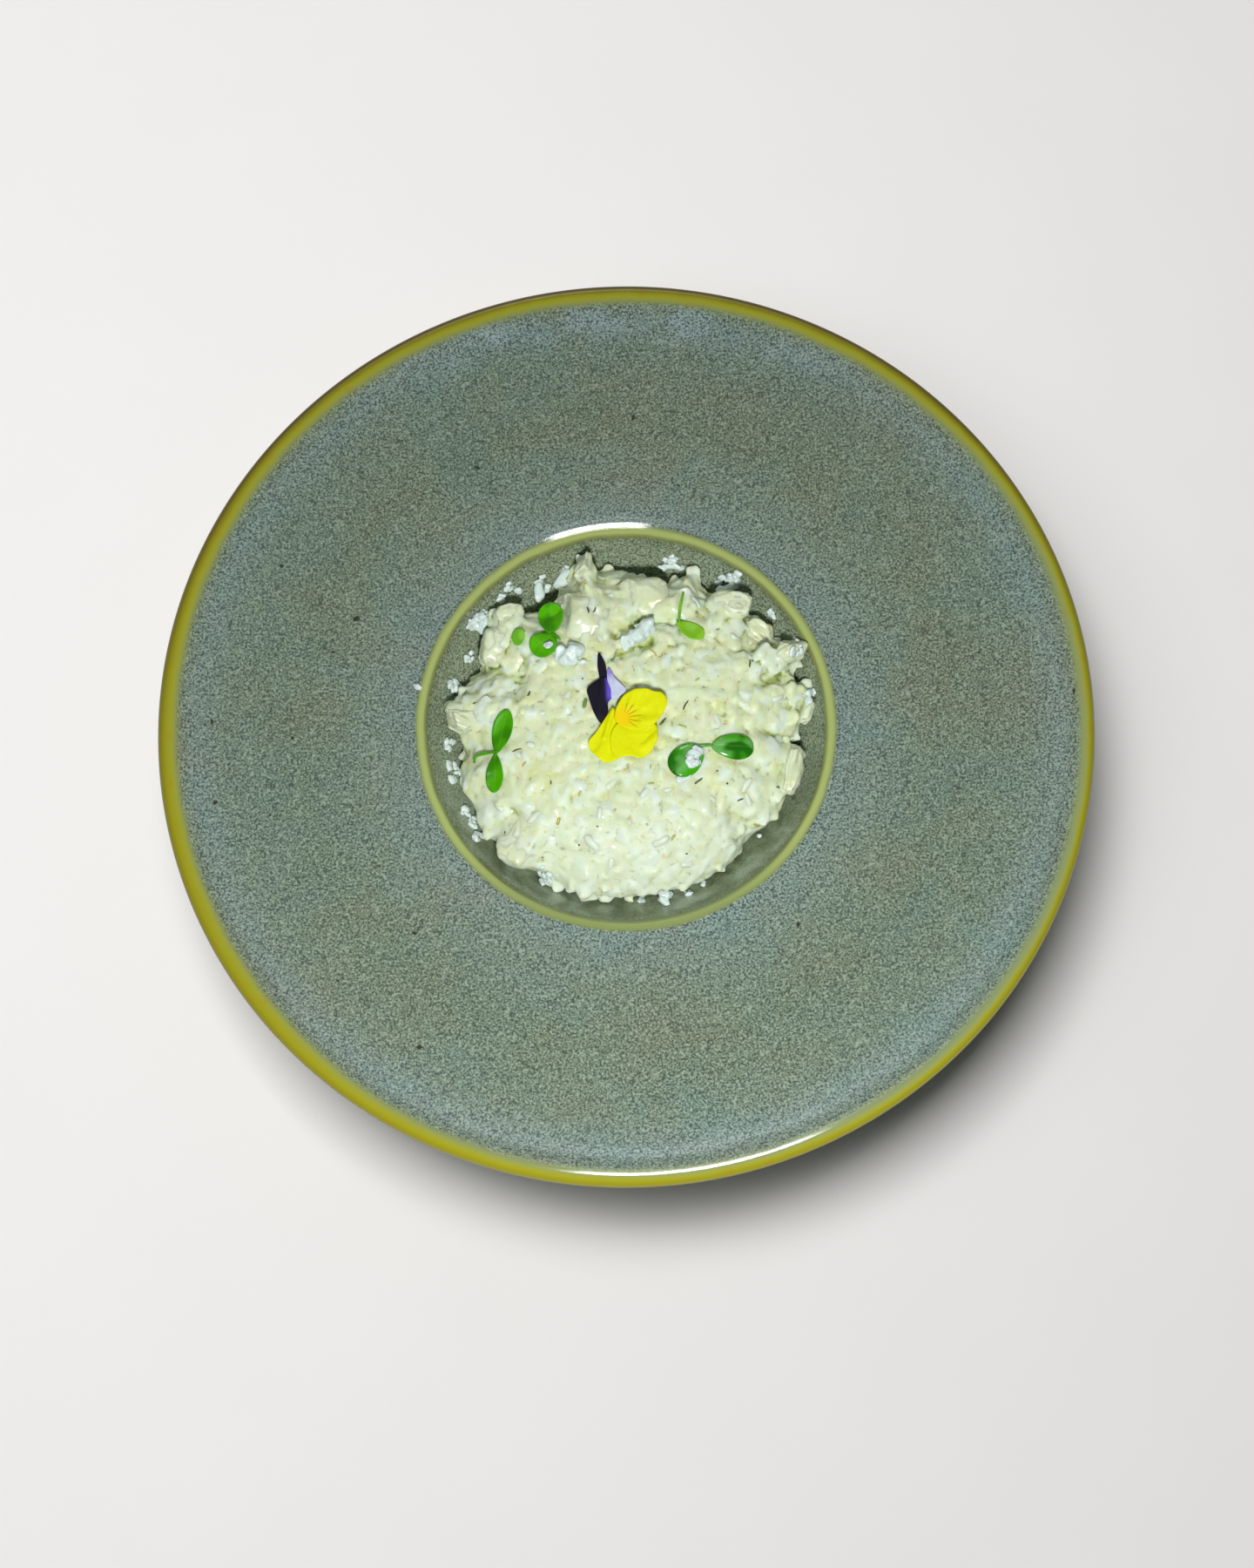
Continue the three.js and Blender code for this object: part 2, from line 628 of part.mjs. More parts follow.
// A thin stalk through points on the heap, with rounded corners and flat ends.
function stemSolid(points, grow = 0) {
  const lift = GAP * 1.4 + 0.3;
  const path = new THREE.CatmullRomCurve3(
    points.map(([x, y]) => new THREE.Vector3(x, y, domeHeight(x, y, BLADE.furthest) + lift + 0.1)),
  );
  const section = new THREE.Shape();
  section.absarc(0, 0, STEM_RADIUS + grow, 0, 2 * Math.PI);
  const steps = 2 * (points.length - 1);
  return toSolid(new THREE.ExtrudeGeometry(section, { steps, curveSegments: 3, extrudePath: path }));
}

function buildSprigs() {
  return Object.entries(SPRIGS).map(([name, sprig]) => {
    const join = (grow) => {
      const blades = sprig.blades.map((blade) => bladeSolid(blade, 0, grow));
      const pieces = sprig.stem.length > 1 ? [...blades, stemSolid(sprig.stem, grow)] : blades;
      return pieces.reduce((body, piece) => body.add(piece));
    };
    return { name, colour: sprig.colour, roughness: 0.45, solid: largestBody(join(0)), grown: join(GAP) };
  });
}

function buildPetals() {
  return Object.entries(PETALS).map(([name, petal]) => ({
    name,
    colour: petal.colour,
    roughness: 0.55,
    solid: bladeSolid(petal, petal.layer),
    grown: bladeSolid(petal, petal.layer, GAP),
  }));
}

// ---- the whole plate ----------------------------------------------------

function nodeMesh(name, geometry, colour, roughness) {
  const material = new THREE.MeshStandardMaterial({ color: colour, roughness, metalness: 0 });
  const mesh = new THREE.Mesh(geometry, material);
  mesh.name = name;
  return mesh;
}

const room = buildRoom();
const garnish = [...buildSprigs(), ...buildPetals()];
const chicken = buildLumps(CHICKEN, 'chicken', '#e0e2c8', 0.5, 1, room, garnish);
const cheese = buildLumps(CHEESE, 'cheese', '#e6eae6', 0.7, 40, room, [...garnish, ...chicken]);
const toppings = [...garnish, ...chicken, ...cheese];
const risotto = buildRisotto(toppings, room);

const plateOfRisotto = new THREE.Group();
plateOfRisotto.name = 'plate_of_chicken_risotto';
plateOfRisotto.add(nodeMesh('plate', buildPlate(), '#7a8670', 0.4));
plateOfRisotto.add(nodeMesh('risotto', toGeometry(risotto), '#dfe3cc', 0.5));
toppings.forEach(({ name, solid, colour, roughness }) => {
  plateOfRisotto.add(nodeMesh(name, toGeometry(solid), colour, roughness));
});

export default plateOfRisotto;
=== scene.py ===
"""The looks of the plate of chicken risotto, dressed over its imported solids.

Shapes are worked out in millimetres and made into meshes in metres. +X is the
eater's right, -Y is the side nearest to the eater and +Z is up. The origin is
on the plate's axis, at its foot.
"""
import math

import bpy
import numpy as np
from mathutils import Matrix, Vector, noise
from mathutils.bvhtree import BVHTree
from mathutils.kdtree import KDTree


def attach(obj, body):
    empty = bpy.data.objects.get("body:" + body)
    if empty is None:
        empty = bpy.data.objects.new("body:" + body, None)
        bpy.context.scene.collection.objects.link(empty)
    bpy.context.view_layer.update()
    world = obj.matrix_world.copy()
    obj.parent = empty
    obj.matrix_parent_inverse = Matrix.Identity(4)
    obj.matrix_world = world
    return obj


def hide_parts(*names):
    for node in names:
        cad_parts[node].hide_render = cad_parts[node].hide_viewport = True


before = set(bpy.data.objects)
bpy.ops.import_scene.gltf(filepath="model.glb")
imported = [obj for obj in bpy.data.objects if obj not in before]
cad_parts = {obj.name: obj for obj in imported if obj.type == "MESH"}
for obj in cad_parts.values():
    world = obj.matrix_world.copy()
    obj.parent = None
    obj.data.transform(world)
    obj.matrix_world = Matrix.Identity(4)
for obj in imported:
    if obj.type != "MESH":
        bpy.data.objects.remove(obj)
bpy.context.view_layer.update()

MM = 0.001
SEED = 20417            # each kind of thing draws from a seed of its own, counted from this one
NOISE_SEED = 11
IMAGE_HEIGHT = 1800

# The photograph's camera: aim and distance in millimetres, angles in degrees.
CAMERA = {"aim": (-0.22, -19.67, 35.0), "distance": 804.3, "elevation": 75.2, "roll": -1.65,
          "focal_px": 3092.6}
# Small things are placed where the camera sees them, on a level plane this high.
SEEN_HEIGHT = 33.0
SEEN_DRIFT = 1.5        # how far a thing on the heap's top lies nearer than it is seen

# ---- driving sizes, in millimetres ---------------------------------------

PLATE = {
    "radius": 140.0, "lip_height": 38.5, "lip_thickness": 4.6,
    "ring_radius": 62.2, "ring_height": 31.5,
    "floor_height": 7.0, "floor_radius": 31.0,
    "foot_radius": 47.0, "foot_width": 5.0, "foot_rise": 2.4, "bare_below": 1.4,
    "segments": 288,
    # Radius and height of places on the well's wall, and on the underside from the lip inwards.
    "wall": ((41, 10.6), (49, 16.2), (55.5, 23.2)),
    "underside": ((136.5, 35.1), (115.6, 29.8), (92, 27.4), (74, 26.0), (67.6, 24.2), (62.6, 20.6),
                  (57.6, 15.4), (51.8, 9.0)),
}
HEAP = {
    "centre": (0.5, 0.2), "half_width": 53.0, "half_depth": 51.5, "peak": 38.4,
    "edge_height": 2.4, "flatness": 3.6, "shoulder": 0.6, "bed_gap": 0.6,
}
# Where the heap's outline reaches out or falls back: angle, reach, spread.
EDGE_LOBES = (
    (10, 3.4, 3.5), (23, 4.0, 5), (47.5, 4.2, 3), (58, -1.0, 4), (66, 2.2, 3),
    (78, -3.4, 6), (103.5, 5.0, 3), (121, -4.6, 9), (137, 3.2, 4.5),
    (155, -3.4, 6), (172, 3.0, 4), (186, -2.6, 6), (199, 1.4, 3), (214, 2.4, 5),
    (230, 2.2, 3), (254, 1.8, 6), (316, -3.0, 6), (354, -3.6, 3),
)
# Raised bands and creases in the heap's top: from, to, width, height.
RELIEF = (
    ((-12, 41), (14, 38), 8, 1.3),
    ((14, 38), (36, 33), 6, 1.1),
    ((16, 30.5), (5, 31.5), 2.2, -4.2),
    ((5, 31.5), (-2, 27), 2.0, -3.4),
    ((8, 24.5), (-3, 19.5), 2.0, -2.6),
    ((-31, 20), (-33, 10), 2.2, -2.4),
    ((-34, -26), (-43, -29), 2.4, -2.6),
    ((-24, -37), (-12, -38), 2.6, -1.0),
    ((-3, -20), (-7, -25), 2.4, -1.0),
    ((42, 11), (47, 15), 2.4, -1.6),
    ((35, -15), (45, -16), 2.4, -1.2),
    ((-32, -34), (-28, -38), 8, 1.0),
    ((4, -34), (22, -30), 9, 0.9),
    ((20, 8), (32, 14), 9, 0.8),
)
# Chicken pieces in node order: at, size, turn, tilt, rise, square.
CHICKEN = (
    ((7.5, 39.5), (17, 12.5, 7), -8, 8, 0.42, 2.5),
    ((-11.5, 49.5), (10, 7, 8), 80, 0, 0.62, 2.6),
    ((-12.5, 33), (21, 16, 9), -24, -6, 0.26, 2.0),
    ((33, 36.5), (14, 9, 7.5), -12, -6, 0.30, 2.2),
    ((41.5, 27.5), (11, 8, 7), -38, 0, 0.42, 3.0),
    ((50, 21.5), (9.5, 7.5, 8), 20, 0, 0.55, 2.4),
    ((49.5, -14.5), (15.5, 7, 6.5), 80, 0, 0.6, 2.8),
    ((-38.5, 26.5), (14, 11, 8), 70, 0, 0.30, 2.2),
    ((-49, 4), (11, 9, 7.5), -20, 0, 0.5, 2.4),
    ((-32, -35), (16, 13, 8), 50, 0, 0.14, 2.6),
    ((-35, 36.5), (9, 6, 6), 15, 0, 0.62, 2.2),
    ((55, 5), (9, 4.5, 5), 72, 0, 0.6, 3.0),
)
# Flat cuts through a chicken piece before it is turned: azimuth, elevation, reach.
CUTS = {
    0: ((0, 0, 0.86), (20, 0, 0.9), (180, 20, 0.75)),
    1: ((70, 30, 0.35), (-60, 35, 0.5), (180, 40, 0.45), (20, 60, 0.6)),
    3: ((0, 0, 0.85), (90, 10, 0.85), (10, 80, 0.8)),
    4: ((30, 20, 0.7), (-60, 20, 0.75), (0, 80, 0.6)),
    5: ((60, 30, 0.6), (150, 10, 0.7), (-40, 40, 0.7)),
    6: ((90, 30, 0.7), (-90, 40, 0.7), (0, 20, 0.9)),
    8: ((120, 40, 0.6), (-150, 20, 0.7), (0, 80, 0.6)),
}
SOFT_CHICKEN = (0, 2, 3, 7, 9, 10)      # smooth, with no further cuts at random
UNDER_CREAM = (3, 7, 9, 10)             # blended with the cream round them
FIBRE_DEPTH = (0.15, 0.3, 0.15, 0.3, 0.5, 0.5, 0.6, 0.15, 0.35, 0.3, 0.45, 0.6)
# Where cream lies thick and smooth: x, y, reach.
CALM_SPOTS = ((-13, 33, 12), (8, 38, 9), (33, 36, 7), (-32, -35, 5))
# How the heap is made up: tries at finding places for its pieces, the least gap between
# two, the bits along its outline, and the share of its skin's faces that is kept.
PLACE_TRIES, PIECE_GAP, EDGE_BITS, FACES_KEPT = 9000, 2.9, 130, 0.56
HEAP_VOXEL, CHEESE_VOXEL = 0.45, 0.28
GRAIN_LENGTH, GRAIN_WIDTH, GRAIN_HEIGHT = (4.5, 6.5), (2.5, 3.1), (2.1, 2.6)
# Cheese lumps in node order: at, size, turn, rise (below zero: on the plate's wall), parts.
CHEESE = (
    ((-16.5, 20.5), (9.5, 8, 5), 15, 0.5, 7),
    ((4, 26.5), (14, 6, 5.5), 38, 0.5, 8),
    ((-21.5, 47.5), (13, 4.8, 4.6), 24, -1, 2),
    ((-43, 35), (7, 6.5, 4), 40, -1, 10),
    ((15, 52), (8, 3, 3), 3, -1, 5),
    ((33, 44.5), (8, 3.4, 3.6), 12, -1, 6),
    ((9.8, -52.5), (4.6, 3.6, 3.6), 80, -1, 4),
)
# Leaves and petals rest this high over the heap's dome, each layer of petals higher by a
# step, and level past this part of the way out to its edge.
BLADE_LIFT, PETAL_STEP, BLADE_FURTHEST = 0.5, 0.9, 0.87
LEAF_THICKNESS, PETAL_THICKNESS, STEM_RADIUS = 0.4, 0.34, 0.42


# ---- small tools ----------------------------------------------------------

noise.seed_set(NOISE_SEED)      # without it the shapes would differ from run to run


def mesh_object(name, vertices_mm, faces, material, smooth=True):
    mesh = bpy.data.meshes.new(name)
    vertices = (np.asarray(vertices_mm, float) * MM).tolist()
    mesh.from_pydata(vertices, [], [list(face) for face in faces])
    mesh.update()
    mesh.polygons.foreach_set("use_smooth", [smooth] * len(mesh.polygons))
    piece = bpy.data.objects.new(name, mesh)
    bpy.context.scene.collection.objects.link(piece)
    mesh.materials.append(material)
    return piece


def dress(piece, slot, *nodes):
    """The piece rides with the plate and stands for its nodes. Its slot is not used."""
    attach(piece, "root")
    if nodes:
        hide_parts(*nodes)


def apply_modifiers(piece):
    graph = bpy.context.evaluated_depsgraph_get()
    mesh = bpy.data.meshes.new_from_object(piece.evaluated_get(graph))
    mesh.materials.clear()
    for material in piece.data.materials:
        mesh.materials.append(material)
    piece.modifiers.clear()
    piece.data = mesh
    mesh.polygons.foreach_set("use_smooth", [True] * len(mesh.polygons))


def rows_of(items, name, width, kind=float):
    """One value of each of a mesh's items, as the rows of an array."""
    flat = np.empty(len(items) * width, kind)
    items.foreach_get(name, flat)
    return flat.reshape(-1, width)


def points_of(mesh):
    return rows_of(mesh.vertices, "co", 3) / MM


def normals_of(mesh):
    return rows_of(mesh.vertex_normals, "vector", 3)


def edges_of(mesh):
    return rows_of(mesh.edges, "vertices", 2, int)


def set_points(mesh, points_mm):
    mesh.vertices.foreach_set("co", (points_mm * MM).ravel())
    mesh.update()


def set_attribute(mesh, name, values):
    layer = mesh.attributes.new(name, "FLOAT", "POINT")
    layer.data.foreach_set("value", np.asarray(values, np.float32))


def grow_together(piece, voxel_mm):
    """Makes one skin of shapes that overlap."""
    skin = piece.modifiers.new("skin", "REMESH")
    skin.mode = "VOXEL"
    skin.voxel_size = voxel_mm * MM
    apply_modifiers(piece)


def relaxed(values, edges, rounds):
    """Values at a mesh's vertices, averaged with their neighbours a few times."""
    first, second = edges.T
    count = len(values)
    degree = np.bincount(first, minlength=count) + np.bincount(second, minlength=count)
    degree = np.maximum(degree, 1)[:, None]
    for _ in range(rounds):
        sums = [np.bincount(first, column[second], count) + np.bincount(second, column[first], count)
                for column in values.T]
        values = np.stack(sums, axis=1) / degree
    return values


def turn_matrix(turn_degrees, tilt_degrees=0.0):
    """Tilts about Y, then turns about Z, for points held as rows."""
    turn = Matrix.Rotation(math.radians(turn_degrees), 3, "Z")
    tilt = Matrix.Rotation(math.radians(tilt_degrees), 3, "Y")
    return np.array(turn @ tilt).T


def bands(sides, rings, start=0):
    """Four-sided faces between rings of points that follow each other."""
    faces = []
    for j in range(sides):
        k = (j + 1) % sides
        for ring in range(rings - 1):
            a = start + ring * sides
            b = a + sides
            faces.append((a + j, a + k, b + k, b + j))
    return faces


def pole_to_pole(sides, rings):
    """Faces of a closed shape whose points are a pole, rings round it and a far pole."""
    far = 1 + sides * rings
    faces = bands(sides, rings, 1)
    for j in range(sides):
        k = (j + 1) % sides
        faces.append((0, 1 + k, 1 + j))
        faces.append((far, far - sides + j, far - sides + k))
    return faces


def turned_over(faces):
    """The same faces, pointing the other way."""
    return [face[:1] + face[:0:-1] for face in faces]


def unit_sphere(around, along):
    """Points and faces of a round ball whose poles lie on X."""
    points = [(-1.0, 0.0, 0.0)]
    for i in range(1, along):
        polar = math.pi * i / along
        for j in range(around):
            angle = 2 * math.pi * j / around
            points.append((-math.cos(polar), math.sin(polar) * math.cos(angle),
                           math.sin(polar) * math.sin(angle)))
    points.append((1.0, 0.0, 0.0))
    return np.array(points), pole_to_pole(around, along - 1)


def wobble(points, size, seed, strength):
    """Smooth random shifts, one 3-D vector for each point, over features of a size."""
    offset = Vector((seed * 13.7, seed * 5.1, seed * 9.3))
    shifts = [noise.noise_vector(Vector(p) / size + offset) for p in points]
    return np.array([tuple(s) for s in shifts]) * strength


def curve_point(p0, p1, p2, p3, t):
    """A place from p1 (t = 0) to p2 (t = 1) on a smooth curve past all four points."""
    return 0.5 * (2 * p1 + (p2 - p0) * t + (2 * p0 - 5 * p1 + 4 * p2 - p3) * t ** 2
                  + (3 * p1 - p0 - 3 * p2 + p3) * t ** 3)


def closed_curve(corners, count):
    """Points, evenly spread, on a smooth closed curve through a few corners."""
    corners = np.asarray(corners, float)
    total = len(corners)
    result = []
    for step in range(count):
        whole, t = divmod(total * step / count, 1)
        four = [corners[(int(whole) + k) % total] for k in (-1, 0, 1, 2)]
        result.append(curve_point(*four, t))
    return np.array(result)


def open_curve(corners, steps):
    """Points on a smooth open curve through a few corners, with some steps between two."""
    corners = np.asarray(corners, float)
    ends = np.vstack([2 * corners[0] - corners[1], corners, 2 * corners[-1] - corners[-2]])
    result = [curve_point(*ends[i:i + 4], t)
              for i in range(len(corners) - 1) for t in np.arange(steps) / steps]
    return np.array(result + [corners[-1]])


# ---- shader helpers -------------------------------------------------------

def srgb(red, green, blue):
    """A shader colour from the 0 to 255 values seen on a screen."""
    def linear(value):
        value /= 255
        return value / 12.92 if value <= 0.04045 else ((value + 0.055) / 1.055) ** 2.4
    return (linear(red), linear(green), linear(blue), 1.0)


class Value:
    """A number or colour in a material. Plain arithmetic on it adds the nodes for it."""

    def __init__(self, shader, socket):
        self.shader = shader
        self.socket = socket

    def __add__(self, other):
        return self.shader.math("ADD", self, other)

    def __sub__(self, other):
        return self.shader.math("SUBTRACT", self, other)

    def __rsub__(self, other):
        return self.shader.math("SUBTRACT", other, self)

    def __mul__(self, other):
        return self.shader.math("MULTIPLY", self, other)

    def __truediv__(self, other):
        return self.shader.math("DIVIDE", self, other)

    def step(self, low, high, to_low=0.0, to_high=1.0):
        """Goes smoothly from to_low to to_high while the value goes from low to high."""
        return self.shader.out("ShaderNodeMapRange", "Result", {
            "Value": self, "From Min": low, "From Max": high, "To Min": to_low, "To Max": to_high,
        }, interpolation_type="SMOOTHSTEP")

    def within(self, start, full, fade, end):
        """1 from full to fade, and 0 before start and after end."""
        return self.step(start, full) * self.step(fade, end, 1.0, 0.0)


class Shader:
    """A material's node tree, with short ways to add the nodes used here. A colour is
    three numbers from 0 to 255, as seen on a screen."""

    def __init__(self, name):
        self.material = bpy.data.materials.new(name)
        self.material.use_nodes = True
        self.tree = self.material.node_tree
        self.surface = self.tree.nodes["Principled BSDF"]

    def node(self, kind, inputs, **settings):
        node = self.tree.nodes.new(kind)
        for name, value in settings.items():
            setattr(node, name, value)
        for name, value in inputs.items():
            self.put(node.inputs[name], value)
        return node

    def out(self, kind, output, inputs, **settings):
        """Adds a node and gives back one of its outputs."""
        return Value(self, self.node(kind, inputs, **settings).outputs[output])

    def put(self, socket, value):
        if isinstance(value, Value):
            self.tree.links.new(value.socket, socket)
        elif socket.type == "RGBA":
            socket.default_value = srgb(*value)
        else:
            socket.default_value = value

    def set(self, **values):
        """Sets or links the surface's sockets; a name's underscores stand for blanks."""
        for name, value in values.items():
            self.put(self.surface.inputs[name.replace("_", " ")], value)

    def place(self):
        return self.out("ShaderNodeTexCoord", "Object", {})

    def axes(self):
        """A point's x and y, in metres."""
        split = self.node("ShaderNodeSeparateXYZ", {0: self.place()})
        return Value(self, split.outputs["X"]), Value(self, split.outputs["Y"])

    def attribute(self, name):
        return self.out("ShaderNodeAttribute", "Fac", {}, attribute_name=name)

    def math(self, operation, first, second=0.0):
        return self.out("ShaderNodeMath", 0, {0: first, 1: second}, operation=operation)

    def noise(self, feature_mm, detail=2.0, roughness=0.5, distortion=0.0):
        """Noise whose blobs are about feature_mm across."""
        return self.out("ShaderNodeTexNoise", "Fac", {
            "Vector": self.place(), "Scale": 1 / (feature_mm * MM), "Detail": detail,
            "Roughness": roughness, "Distortion": distortion,
        })

    def mix(self, factor, first, second):
        """Blends two colours, by the numbers of the node's sockets that are for colours."""
        return self.out("ShaderNodeMix", 2, {0: factor, 6: first, 7: second}, data_type="RGBA")

    def paint(self, colour, *coats):
        """Lays coats over a colour in turn, each as where it lies and its own colour."""
        for where, coat in coats:
            colour = self.mix(where, colour, coat)
        return colour

    def ramp(self, factor, *stops):
        node = self.node("ShaderNodeValToRGB", {"Fac": factor})
        elements = node.color_ramp.elements
        while len(elements) < len(stops):
            elements.new(0.5)
        for element, (position, colour) in zip(elements, stops):
            element.position = position
            element.color = srgb(*colour)
        return Value(self, node.outputs["Color"])

    def bump(self, height, depth_mm):
        inputs = {"Height": height, "Distance": depth_mm * MM, "Strength": 0.5}
        self.set(Normal=self.out("ShaderNodeBump", "Normal", inputs))

    def soften(self, weight, radius_mm, colour_reach):
        """Light that soaks in: radius_mm is how far it spreads."""
        self.set(Subsurface_Weight=weight, Subsurface_Scale=radius_mm * MM, Subsurface_Radius=colour_reach)


# ---- materials ------------------------------------------------------------

RING = PLATE["ring_radius"] / PLATE["radius"]
RING_YELLOW, POOLED, RIM_OLIVE = (162, 176, 104), (118, 140, 136), (104, 120, 96)
CREAM_REACH = (0.9, 1.0, 0.7)       # how far red, green and blue soak into cream


def glaze_radius(shader, x, y, near_right):
    """How far out a place lies, 1 at the plate's edge, drifting a little as a glaze runs;
    the yellow of the lip is narrower at the near right."""
    radius = shader.math("SQRT", x * x + y * y) / (PLATE["radius"] * MM)
    radius = radius + (shader.noise(9) - 0.5) * 0.006
    return radius - near_right * 0.011 * radius.step(0.90, 0.95)


def glaze_bands(shader, radius):
    """The glaze from the well's middle outwards, across the ring and up to the lip."""
    return shader.ramp(
        radius,
        (0.0, (148, 160, 140)), (RING - 0.021, (132, 144, 112)), (RING - 0.013, (100, 104, 52)),
        (RING - 0.007, RING_YELLOW), (RING + 0.004, RING_YELLOW), (RING + 0.010, (122, 134, 92)),
        (RING + 0.015, POOLED), (RING + 0.13, (112, 130, 112)), (0.70, RIM_OLIVE),
        (0.86, (108, 128, 110)), (0.925, POOLED), (0.948, (118, 134, 118)), (0.960, (134, 144, 88)),
        (0.970, (154, 156, 46)), (0.984, (150, 146, 26)), (0.997, (146, 140, 22)),
    )


def glaze_material():
    """Reactive stoneware glaze: grey-green and speckled, blue-grey where it pools
    beside an edge, and thin, glossy and yellow-olive on the edges themselves. Painted over it
    are reflections on the far rim, on the near wall of the well and on the inner lip at the
    near right, and shade on the far lip's outer edge and on the ring's near side."""
    shader = Shader("stoneware_glaze")
    x, y = shader.axes()
    near_right = (x - y).step(-0.06, 0.20)
    radius = glaze_radius(shader, x, y, near_right)
    on_lip = radius.step(0.950, 0.966)
    on_ring = radius.within(RING - 0.018, RING - 0.010, RING + 0.007, RING + 0.013)
    plain = 1 - shader.math("MAXIMUM", on_lip, on_ring)

    patches = shader.ramp(shader.noise(26, 3, 0.55, 0.6), (0.30, (110, 138, 130)),
                          (0.5, (126, 138, 116)), (0.70, (134, 128, 100)))
    # painted reflection: a pale blue-grey sheen on the far rim, inside the lip
    painted_far_sheen = y.step(0.100, 0.125) * radius.within(0.84, 0.93, 0.945, 0.962)
    painted_far_sheen = painted_far_sheen * shader.noise(12, 3).step(0.42, 0.66, 0.0, 0.55)
    # painted reflection: a blurred reflection of the heap, as light and dark streaks on the near wall of
    # the well, with the speckle fainter under it
    near_wall_reflection = radius.step(RING - 0.010, RING - 0.03) * y.step(0.0, -0.04)
    reflection_streaks = shader.ramp(shader.noise(11, 3, 0.55, 0.5), (0.38, (84, 94, 62)),
                          (0.5, (124, 137, 108)), (0.62, (160, 174, 154)))
    speck = shader.noise(0.62, 1.0, 0.6)
    speckled = plain * (1 - near_wall_reflection * 0.7)
    rust = shader.noise(5).step(0.60, 0.72) * on_lip
    # painted shade: the lip's outer edge is dark brown on the far side
    far_lip_shade = y.step(-0.03, 0.11) * radius.step(0.972, 0.994)
    inner_lip = on_lip * radius.step(0.978, 0.966)
    # painted shade: the ring is duller, darker olive, on its near side
    near_ring_shade = y.step(-0.03, -0.062) * on_ring
    pinholes = shader.noise(3.4, 0.0).step(0.86, 0.88)
    colour = shader.paint(
        glaze_bands(shader, radius),
        (plain * 0.30, patches),
        (painted_far_sheen, (150, 170, 176)),
        (near_wall_reflection * 0.75, reflection_streaks),
        (speck.step(0.50, 0.36) * speckled * 0.80, (52, 64, 62)),
        (speck.step(0.54, 0.66) * speckled * 0.50, (174, 192, 176)),
        (rust * 0.25, (164, 124, 24)),
        (far_lip_shade * 0.8, (84, 64, 8)),
        # painted reflection: the inner side of the lip is paler at the near right
        (near_right * inner_lip * 0.7, (134, 148, 108)),
        (near_ring_shade * 0.7, (120, 134, 78)),
        (pinholes * speckled, (50, 52, 40)),
    )
    ring_gloss = radius.within(RING - 0.001, RING + 0.005, RING + 0.016, RING + 0.022)
    lip_gloss = radius.within(0.955, 0.963, 0.980, 0.986)
    gloss = shader.math("MAXIMUM", ring_gloss, lip_gloss)
    rough = gloss.step(0.0, 1.0, 0.38, 0.06) + shader.noise(7) * 0.03
    shader.set(Base_Color=colour, Roughness=rough, IOR=1.55)
    shader.bump(speck * speckled, 0.02)
    return shader.material


def mottled_material(name, colours, roughness, feature_mm=1.0, detail=2.0, ior=1.5, soft=(), relief=()):
    """Blobs of two colours. soft is what soften asks for, and relief is the bumps'
    size, detail and depth."""
    shader = Shader(name)
    colour = shader.mix(shader.noise(feature_mm, detail), *colours)
    shader.set(Base_Color=colour, Roughness=roughness, IOR=ior)
    if soft:
        shader.soften(*soft)
    if relief:
        size, fineness, depth = relief
        shader.bump(shader.noise(size, fineness), depth)
    return shader.material


def clay_material():
    """The bare, unglazed clay of the foot."""
    return mottled_material("bare_clay", ((150, 128, 104), (186, 164, 138)), 0.85, 1.5, 3,
                            relief=(0.6, 2, 0.08))


def rice_material():
    """Single cooked grains: whiter and clearer than the cream round them."""
    return mottled_material("rice_grain", ((212, 225, 208), (210, 223, 196)), 0.42, 2.5, ior=1.40,
                            soft=(0.3, 0.8, CREAM_REACH))


def cheese_material():
    """Fresh white cheese, crumbled: cool white and nearly matt."""
    return mottled_material("cheese", ((220, 234, 230), (200, 218, 212)), 0.32, 2.2, 3, ior=1.4,
                            soft=(0.4, 1.0, (0.95, 1.0, 0.95)), relief=(0.9, 3, 0.08))


def risotto_material():
    """Creamy rice: each piece under the cream has its own tint. Creases and hollows
    are olive, partly sauce and partly painted shade, more so in the far half, where they are
    deep. The front is paler, which is painted light, and fine whiter flecks are painted highlights."""
    shader = Shader("risotto")
    _, y = shader.axes()
    front = y.step(0.024, -0.018)
    fine = shader.noise(1.8, 3, 0.6)
    tint = shader.attribute("tint") + (shader.noise(7, 3, 0.6) - 0.5) * 0.8
    cream = shader.ramp(
        tint,
        (0.0, (213, 227, 213)), (0.3, (215, 227, 204)), (0.52, (212, 224, 190)),
        (0.72, (210, 221, 177)), (0.86, (217, 222, 193)), (1.0, (206, 216, 160)),
    )
    # olive in hollows and creases: partly sauce pooled there, partly painted shade, stronger in the far
    # half
    hollow = shader.attribute("hollow").step(0.10, 0.85) * front.step(0.0, 1.0, 0.85, 0.48)
    crease = shader.attribute("crease").step(0.25, 0.8) * front.step(0.0, 1.0, 0.75, 0.4)
    colour = shader.paint(
        cream,
        # painted highlights: fine whiter flecks
        (fine.step(0.56, 0.72, 0.0, 0.22), (220, 228, 216)),
        # painted light: the front of the heap is paler
        (y.step(-0.020, -0.038, 0.0, 0.45), (216, 227, 211)),
        (shader.noise(2.6).step(0.63, 0.70) * 0.5, (194, 201, 112)),
        (shader.noise(4.5, 1).step(0.65, 0.74) * 0.4, (224, 210, 160)),
        (hollow, (162, 178, 70)),
        (crease, (88, 104, 40)),
    )
    wet = shader.noise(1.0, 1).step(0.63, 0.67)
    dull = front * 0.16 + 0.40
    shader.set(Base_Color=colour, Roughness=dull - wet * (dull - 0.15), IOR=1.40)
    shader.soften(0.8, 1.8, CREAM_REACH)
    shader.bump(fine + shader.noise(0.7), 0.045)
    return shader.material


